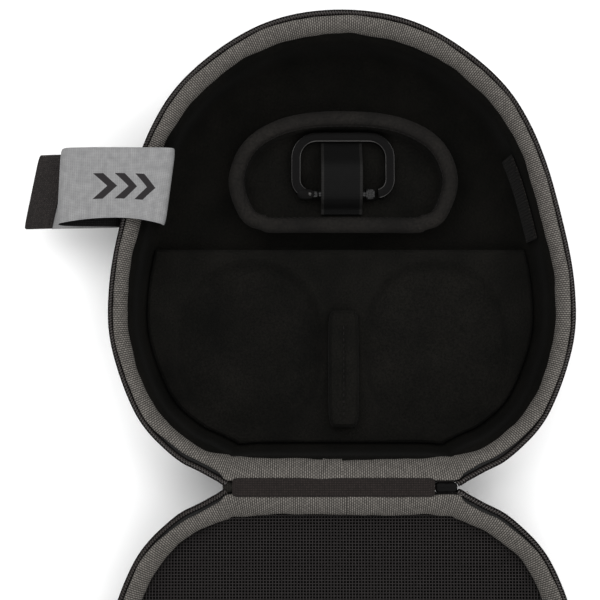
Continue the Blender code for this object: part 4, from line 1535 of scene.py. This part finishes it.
    def bead(self, outline: PlanOutline) -> Surface:
        """The bead round the pocket's mouth: a rounded tube with a seam groove on its inner and outer sides.

        The tube's radius falls by a tenth in each groove, and slow waves make it a little uneven.
        """
        turn = 2 * math.pi * np.arange(44) / 44
        inner_groove = 0.13 * np.exp(-(((turn - 0.35) / 0.16) ** 2))
        outer_groove = 0.10 * np.exp(-(((turn - 3.6) / 0.2) ** 2))
        radius = 1 - inner_groove - outer_groove
        section = np.stack(
            [np.cos(turn) * self.bead_radii[0], np.sin(turn) * self.bead_radii[1]], 1
        ) * radius[:, None]
        along = run_lengths(outline.points)
        swell = 1 + 0.025 * slow_waves(along, 31, 70.0)[:, None, None]
        shift = section[None] * (swell - 1)
        return swept("pocket_bead_roll", outline, section + self.bead_centre, 1, Ends.JOINED, shift)

    def seams(self, outline: PlanOutline) -> None:
        """The stitched line at the foot of the bead's inner side, and the divider's lengthwise stitches."""
        path = outline.points + outline.steps * 7.55
        along = run_lengths(np.vstack([path, path[:1]]))
        count = int(along[-1] / 3.0)
        both = respaced_by(np.vstack([path, path[:1]]), along, count + 1)
        tangents = np.gradient(both, axis=0)[:-1]
        tangents /= np.linalg.norm(tangents, axis=1, keepdims=True)
        centres = world(both[:-1], np.full(count, 19.2))
        flat = np.hstack([tangents, np.zeros((count, 1))])
        inward = np.stack([-tangents[:, 1], tangents[:, 0], 0.35 + 0 * tangents[:, 0]], axis=1)
        inward /= np.linalg.norm(inward, axis=1, keepdims=True)
        row = beads_along("pocket_bead_stitches", centres, flat, inward, (1.05 * MM, 0.26 * MM, 0.2 * MM))
        self.keep(row, FINISH.dark_thread, "padding")
        d = np.arange(self.divider_d - 22, self.divider_d + 22, 3.0)
        ones = np.ones((len(d), 1))
        centres = world(np.stack([np.full_like(d, self.centre_x), d], axis=1), np.full(len(d), 20.1))
        row = beads_along(
            "divider_stitches", centres, np.array([0, 1.0, 0]) * ones, np.array([0, 0, 1.0]) * ones,
            (1.0 * MM, 0.25 * MM, 0.2 * MM)
        )
        self.keep(row, FINISH.dark_thread, "padding")


@dataclass
class Carabiner(Assembly):
    """The carabiner in the pocket: frame with its fork, rivet, and a gate with a knurled sleeve."""

    centre_x: float = 1.5
    z: float = 12.3
    gate_d: float = 142.5
    half_width: float = 23.3
    height: float = 28.5
    corner: float = 10.5
    low_corner: float = 7.0
    bar: tuple[float, float] = (2.45, 2.05)
    chamfer_faces: tuple[int, ...] = (0, 1, 3, 4, 6, 7, 9, 10)
    pivot_x: float = -16.4
    nose_x: float = 17.8
    gate_radius: float = 1.95
    sleeve_x: tuple[float, float] = (11.2, 15.8)
    sleeve_radius: float = 2.88

    def origin(self) -> Array:
        """The gate line's middle, in metres."""
        return np.array([self.centre_x * MM, HINGE_Y + self.gate_d * MM, self.z * MM])

    def build(self) -> None:
        """Makes and dresses the frame, the rivet, the tongue, the rod and the sleeve."""
        frame = self.keep(self.frame(), FINISH.paint, "black_metal", "carabiner_frame")
        # The chamfer columns take the paler metal: painted highlight along the frame's edges.
        dress_columns(frame, FINISH.rivet_steel_and_edge_highlight, 180, 12, self.chamfer_faces)
        self.keep(self.rivet().build(), FINISH.rivet_steel_and_edge_highlight, "steel", "gate_pin")
        self.keep(self.tongue().build(), FINISH.turned, "black_metal", "gate_tongue", body="gate")
        self.keep(self.rod().build(), FINISH.turned, "black_metal", "gate_rod", body="gate")
        self.keep(self.sleeve().build(), FINISH.turned, "black_metal", "gate_sleeve", body="gate")
        self.report()

    def centreline(self) -> Array:
        """The frame's path in millimetres from the gate line's middle: four arcs joined by straight runs."""

        def arc(cx: float, cy: float, radius: float, start: float, end: float) -> Array:
            """Points on an arc, angles in degrees."""
            turn = np.radians(np.linspace(start, end, 12))
            return np.stack([cx + radius * np.cos(turn), cy + radius * np.sin(turn)], axis=1)

        w, h, c, low = self.half_width, self.height, self.corner, self.low_corner
        path = np.vstack(
            [
                arc(low - w, low, low, 250, 180),
                arc(c - w, h - c, c, 180, 90),
                arc(w - c, h - c, c, 90, 0),
                arc(w - low, low, low, 0, -78),
                [[self.nose_x - 0.6, 0.05]],
            ]
        )
        return respaced(path, 180)

    def frame(self) -> Piece:
        """A flat bar with chamfered edges along the path, and a cheek plate each side of the gate."""
        path = np.hstack([self.centreline(), np.zeros((180, 1))]) * MM + self.origin()
        half, thick, chamfer = self.bar[0] * MM, self.bar[1] * MM, 0.5 * MM
        corner = np.array(
            [(half, thick - chamfer), (half - 0.1 * MM, thick - 0.4 * chamfer), (half - chamfer, thick)]
        )
        quarter = np.vstack([corner, corner[::-1] * [-1, 1]])
        section = np.vstack([quarter, quarter[::-1] * [1, -1]])
        surface = tube("carabiner_frame_bar", path, section)
        along = run_lengths(path)
        ends = np.minimum(along, along[-1] - along) / (1.0 * MM)
        shrink = 0.8 + 0.2 * np.sqrt(np.clip(1 - (1 - np.clip(ends, 0, 1)) ** 2, 0, 1))
        surface.grid = path[:, None] + (surface.grid - path[:, None]) * shrink[:, None, None]
        cheek = ellipse(4.3, 2.4, 40, power=2.4) + [self.pivot_x - 2.0, 0.0]
        pieces = [surface.build()]
        for low, high in ((-2.12, -1.3), (1.3, 2.12)):
            rows = ((0.25, low), (0.0, low + 0.2), (0.0, high - 0.2), (0.25, high))
            pieces.append(slab("carabiner_cheek", cheek, rows, self.origin(), UPRIGHT).build())
        return joined("carabiner_frame_body", pieces)

    def rivet(self) -> Surface:
        """The gate's rivet, domed at both ends."""
        top = 2.45
        half = np.array([(-top, 0.05), (-top + 0.08, 0.5), (-top + 0.3, 0.9), (-2.05, 1.0)])
        rows = np.vstack([half, half[::-1] * [-1, 1]]) * MM
        start = self.origin() + np.array([self.pivot_x * MM, 0, 0])
        return turned("gate_rivet", start, np.array([0.0, 0.0, 1.0]), rows, 28)

    def tongue(self) -> Surface:
        """The gate's flat tongue between the cheeks."""
        loop = ellipse(2.9, 1.5, 36, power=4) + [self.pivot_x + 1.3, 0.0]
        rows = ((0.3, -1.0), (0.0, -0.75), (0.0, 0.75), (0.3, 1.0))
        return slab("gate_tongue_plate", loop, rows, self.origin(), UPRIGHT)

    def rod(self) -> Surface:
        """The gate's rod, chamfered at both ends, with a shallow ring groove before the sleeve."""
        r = self.gate_radius
        end = self.nose_x - 1.8 - (self.pivot_x + 4.1)
        rows = [(0, 0.05), (0, r - 0.5), (0.4, r), (24.5, r), (24.7, r - 0.25), (25.3, r - 0.25), (25.5, r)]
        rows += [(end - 0.4, r), (end, r - 0.4), (end, 0.05)]
        start = self.origin() + np.array([(self.pivot_x + 4.1) * MM, 0, 0])
        return turned("gate_rod_bar", start, np.array([1.0, 0, 0]), np.array(rows) * MM, 32)

    def sleeve(self) -> Surface:
        """The sleeve: a short barrel whose radius is fluted by |cos(9 angle)| between plain rims."""
        low, high = self.sleeve_x
        r, length = self.sleeve_radius, high - low
        rows = np.array(
            [(0, 2.2), (0, r - 0.3), (0.3, r), (0.8, r), (1.0, r), (length - 1.0, r), (length - 0.8, r)]
            + [(length - 0.3, r), (length, r - 0.3), (length, 2.2), (length / 2, 2.15)]
        )
        rows = np.vstack([rows, rows[:1]]) * MM

        def flutes(distance: Array, angle: Array) -> Array:
            """Grooves a tenth deep on the barrel only."""
            barrel = (distance > 0.9 * MM) & (distance < (length - 0.9) * MM)
            return 1 - 0.1 * barrel * (1 - np.abs(np.cos(9 * angle)))

        start = self.origin() + np.array([low * MM, 0, 0])
        return turned("gate_sleeve_barrel", start, np.array([1.0, 0, 0]), rows, 108, flutes)


@dataclass
class Band(Assembly):
    """The webbing band that holds the carabiner, with its selvages."""

    centre_x: float = 0.9
    width: float = 20.4
    thickness: float = 1.2
    path: tuple = (
        (132.8, 9.4),
        (135.8, 10.2),
        (138.6, 13.6),
        (141.2, 16.2),
        (146.5, 18.0),
        (152.0, 19.0),
        (156.8, 18.0),
        (161.8, 13.2),
        (165.8, 9.8),
        (170.0, 9.2),
        (172.8, 9.2),
    )

    def build(self) -> None:
        """Makes and dresses the band and its selvages."""
        path = catmull_rom(np.array(self.path), 5)
        self.keep(
            self.strip("band_webbing", path, self.width, self.thickness, 0.0), FINISH.webbing, "webbing",
            "carabiner_band"
        )
        for sign in (-1, 1):
            edge = self.strip(
                f"band_selvage_{'left' if sign < 0 else 'right'}", path, 1.7, 1.36,
                sign * (self.width / 2 - 0.75)
            )
            self.keep(edge, FINISH.selvage, "webbing")
        self.report()

    def strip(self, name: str, path: Array, width: float, thickness: float, offset: float) -> Piece:
        """A flat strip with rounded edges along the band's path, in the YZ plane."""
        section = ellipse(width / 2 * MM, thickness / 2 * MM, 40, power=8 if width > 5 else 3)
        points = np.stack(
            [np.full(len(path), (self.centre_x + offset) * MM), HINGE_Y + path[:, 0] * MM,
            path[:, 1] * MM], 1
        )
        tangents = np.gradient(points, axis=0)
        tangents /= np.linalg.norm(tangents, axis=1, keepdims=True)
        normal = np.cross([1.0, 0.0, 0.0], tangents)
        return tube(name, points, section, up=normal).build()


@dataclass
class Strap(Assembly):
    """The retaining strap folded out over the left rim, its hook tab, and the loop patch on the right wall.
    """

    centre_y: float = 27.7
    width: float = 36.6
    thickness: float = 1.25
    root: tuple = ((-83.0, 15.0), (-82.6, 26.0), (-81.6, 34.0), (-80.2, 39.5))
    path: tuple = (
        (-79.7, 42.2),
        (-81.4, 44.3),
        (-86.0, 45.2),
        (-98.0, 46.0),
        (-113.0, 46.0),
        (-128.0, 45.2),
        (-132.2, 43.2),
        (-132.4, 40.4),
        (-127.0, 38.4),
        (-115.0, 36.6),
        (-108.8, 35.4),
        (-106.8, 33.4),
        (-109.4, 31.4),
        (-122.0, 29.0),
        (-132.2, 26.9),
    )
    tab_path: tuple = ((-132.0, 27.6), (-139.5, 26.0), (-146.9, 24.5))
    loop_profile: tuple = ((13.4, 14.8), (11.5, 31.5), (12.7, 31.5), (14.6, 14.8))
    loop_reach: tuple[float, float] = (120.0, 165.0)

    def build(self) -> None:
        """Makes and dresses the strap, the tab with its tacks, and the loop patch."""
        path = catmull_rom(np.array(self.root + self.path), 8)
        along = run_lengths(path)
        cloth = self.cloth(path, along)
        start = (self.motif_at(path, along), -1.9 * MM)
        finish = StrapWeave("grey_strap_weave", "#666667", "#8b8b8b", 0.85, motif_start=start, specular=0.12)
        strap = self.keep(cloth.build(), finish, "strap_webbing", "retaining_strap", "strap_root", body="")
        # The under face's columns take the near-black finish: painted shade for the shadow between the strap's
        # folds.
        dress_columns(strap, FINISH.strap_inner_painted_shade, len(path), 30, range(15, 29))
        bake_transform(strap)
        self.tab()
        self.loop_patch()
        self.report()

    def motif_at(self, path: Array, along: Array) -> float:
        """How far along the strap the printed motif starts, in metres."""
        return float(along[np.argmin(np.hypot(path[:, 0] + 86.5, path[:, 1] - 44.5))]) * MM

    def cloth(self, path: Array, along: Array) -> Surface:
        """The folded strap; its -Y edge is drawn in between the rim and the first fold, as a bow of a sine.
        """
        top = along[np.argmin(np.hypot(path[:, 0] + 132.4, path[:, 1] - 42))]
        rim = along[np.argmin(np.hypot(path[:, 0] + 80, path[:, 1] - 43))]
        share = np.clip((along - rim) / (top - rim), 0, 1)
        bow = 3.1 * np.sin(math.pi * share) ** 0.8 + 3.4 * (1 - smoothstep(along, rim - 9, rim - 1))
        low = smoothstep(along, top + 4, top + 22)
        skew = -4.6 * (
            1 - smoothstep(along, rim, rim + 25)
        ) - 1.4 * smoothstep(along, rim + 25, top) * (1 - low)
        skew += 0.8 * smoothstep(along, top + 18, top + 26) * (1 - smoothstep(along, top + 30, top + 36))
        skew -= 7.8 * smoothstep(along, along[-1] - 24, along[-1] - 2)
        widths = np.full(len(path), self.width) - 0.8 * np.exp(-(((along - top) / 2.5) ** 2))
        lifted = path.copy()
        lifted[:, 1] += 0.25 * slow_waves(along, 41, 50.0)
        return belt("retaining_strap_web", lifted, widths, self.thickness, self.centre_y, bow, skew)

    def tab(self) -> None:
        """The hook tab at the strap's end, its end corners barely eased, with one row of stitches across it."""
        path = catmull_rom(np.array(self.tab_path), 14)
        along = run_lengths(path)
        left = along[-1] - along
        radius = 0.8
        cut = radius - np.sqrt(np.clip(radius**2 - np.clip(radius - left, 0, radius) ** 2, 0, None))
        widths = self.width - 0.2 - 2 * cut
        none = np.zeros(len(path))
        skew = -7.9 + 1.2 * smoothstep(along, 4.0, along[-1])
        surface = belt("strap_hook_tab_web", path, widths, 1.5, self.centre_y, none, skew)
        self.keep(surface.build(), FINISH.hook, "hook_tape", "strap_hook_tab", body="strap")
        y = np.arange(-15.8, 15.9, 2.1)
        x = -133.9 - 7.9 * (0.5 - y / self.width)
        centres = np.stack([x, self.centre_y + y, np.full_like(y, 27.95)], axis=1) * MM
        ones = np.ones((len(y), 1))
        row = beads_along(
            "strap_tab_stitches", centres, np.array([0, 1.0, 0]) * ones, np.array([-0.18, 0, 0.98]) * ones,
            (0.75 * MM, 0.22 * MM, 0.18 * MM)
        )
        self.keep(row, FINISH.dark_thread, "hook_tape", body="strap")

    def loop_patch(self) -> None:
        """The loop patch on the right wall."""
        low, high = self.loop_reach
        chosen = (ZIP_RUN.points[:, 0] > 0) & (ZIP_RUN.points[:, 1] > low) & (ZIP_RUN.points[:, 1] < high)
        patch = swept("loop_patch_tape", ZIP_RUN.part(chosen), rounded(self.loop_profile, 1), 1, Ends.CAPPED)
        self.keep(patch.build(), FINISH.loop, "hook_tape", "strap_loop_patch")


@dataclass
class NetPocket(Assembly):
    """The net across the lid, knitted in a square grid, and the elastic along its mouth."""

    inset: float = 9.8
    z: float = 33.4
    end: float = 158.0
    pitch: float = 1.45
    thread: float = 0.24
    sag: float = 1.3

    def build(self) -> None:
        """Makes and dresses the net and its hem."""
        inner = OUTLINE.points + OUTLINE.steps * self.inset
        right = inner[: RIM.run_count() // 2 + 1]
        d = np.linspace(right[0, 1], self.end, 700)
        reach = np.interp(d, right[:, 1], right[:, 0])
        x = np.arange(-reach.max() + self.pitch, reach.max() - self.pitch, self.pitch)
        open_at = reach[None, :] >= np.abs(x)[:, None]
        low = d[np.argmax(open_at, axis=1)]
        high = d[len(d) - 1 - np.argmax(open_at[:, ::-1], axis=1)]
        t = np.linspace(0, 1, 16)[None, :]
        down = np.stack(
            [np.broadcast_to(x[:, None], (len(x), 16)), low[:, None] + (high - low)[:, None] * t], axis=-1
        )
        rows = np.arange(d[0], self.end, self.pitch)
        width = np.interp(rows, d, reach)
        across = np.stack(
            [width[:, None] * (2 * t - 1), np.broadcast_to(rows[:, None], (len(rows), 16))], axis=-1
        )
        plan = np.concatenate([down, across])
        level = np.concatenate([np.full((len(x), 1), 0.1), np.full((len(rows), 1), -0.1)])
        net = strands("net_grid", self.placed(plan, level), self.thread * MM)
        self.keep(net, FINISH.net, "mesh_fabric", "mesh_pocket")
        self.hem(reach[-1])
        self.report()

    def placed(self, plan: Array, level: Array) -> Array:
        """World points of the net: it sags as a parabola both ways, most at its middle."""
        middle = 0.5 * (self.end + 15.0)
        dip = (1 - np.clip(plan[..., 0] / 92, -1, 1) ** 2) * (
            1 - ((plan[..., 1] - middle) / (self.end - middle + 2)) ** 2
        )
        return world(plan, self.z + level - self.sag * dip, -1)

    def hem(self, reach: float) -> None:
        """The elastic: a flattened tube along the net's mouth, gathered in small waves."""
        x = np.linspace(-reach + 3, reach - 3, 160)
        path = world(
            np.stack([x, self.end + 2.0 + 0.12 * np.sin(x * 2.6)], axis=1), self.z + 0.1 * np.sin(x * 3.1),
            -1
        )
        band = tube("net_hem_elastic", path, ellipse(1.7 * MM, 0.75 * MM, 16, power=3))
        self.keep(band.build(), FINISH.elastic, "webbing", "mesh_pocket_hem")


@dataclass
class Studio:
    """The white sweep, the soft lights and the camera."""

    tilt_degrees: float = 4.0
    camera_at: tuple[float, float, float] = (-0.0198, -0.0712, 0.6867)
    lens_mm: float = 82.2
    lights: tuple = (
        ((-0.45, 0.55, 1.15), 1.1, 9.0),
        ((0.65, 0.35, 1.05), 0.9, 6.0),
        ((0.15, -0.85, 0.95), 1.0, 6.0),
    )
    world_strength: float = 0.75

    def build(self) -> None:
        """Places the floor, the lights, the world's even light and the camera."""
        self.floor()
        for where, size, energy in self.lights:
            self.softbox(where, size, energy)
        around = bpy.data.worlds.new("white_room")
        around.use_nodes = True
        background = around.node_tree.nodes["Background"]
        background.inputs[0].default_value = linear("#ffffff")
        background.inputs[1].default_value = self.world_strength
        bpy.context.scene.world = around
        bpy.context.scene.view_settings.view_transform = "Standard"
        lens = bpy.data.cameras.new("camera")
        lens.sensor_width, lens.lens = 36.0, self.lens_mm
        camera = bpy.data.objects.new("camera", lens)
        camera.location = self.camera_at
        camera.rotation_euler = (math.radians(self.tilt_degrees), 0.0, 0.0)
        bpy.context.scene.collection.objects.link(camera)
        bpy.context.scene.camera = camera

    def floor(self) -> None:
        """A flat grid of 6 m, just under the case."""
        u, v = np.meshgrid(np.linspace(-3, 3, 13), np.linspace(-3, 3, 13), indexing="ij")
        points = np.stack([u, v, np.full_like(u, -0.0004)], axis=-1).reshape(-1, 3)
        i, j = np.meshgrid(np.arange(12), np.arange(12), indexing="ij")
        at = i * 13 + j
        faces = np.stack([at, at + 13, at + 14, at + 1], axis=-1).reshape(-1, 4)
        mesh = bpy.data.meshes.new("floor")
        mesh.from_pydata(points.tolist(), [], faces.tolist())
        floor = bpy.data.objects.new("floor", mesh)
        bpy.context.scene.collection.objects.link(floor)
        FINISH.floor.dress(floor)

    def softbox(self, where: tuple[float, float, float], size: float, energy: float) -> None:
        """A square area light that faces the case."""
        lamp = bpy.data.lights.new("softbox", "AREA")
        lamp.size, lamp.energy = size, energy
        light = bpy.data.objects.new("softbox", lamp)
        light.location = where
        aim = np.array([0.0, -0.08, 0.02]) - np.array(where)
        yaw = math.atan2(aim[1], aim[0])
        pitch = math.atan2(math.hypot(aim[0], aim[1]), -aim[2])
        light.rotation_euler = (pitch, 0.0, yaw - math.pi / 2)
        bpy.context.scene.collection.objects.link(light)


def main() -> None:
    """Builds the studio and every sub-assembly in order."""
    logging.basicConfig(level=logging.INFO, format="%(message)s")
    Studio().build()
    Half("base", side=1).build()
    Half("lid", side=-1, joint_x=2.0, extra_reach=1.5).build()
    Hinge("base").build()
    ZipEnd("base").build()
    Interior("base").build()
    Carabiner("carabiner").build()
    Band("base").build()
    Strap("base").build()
    NetPocket("lid").build()
    bpy.context.view_layer.update()


if __name__ == "__main__":
    main()
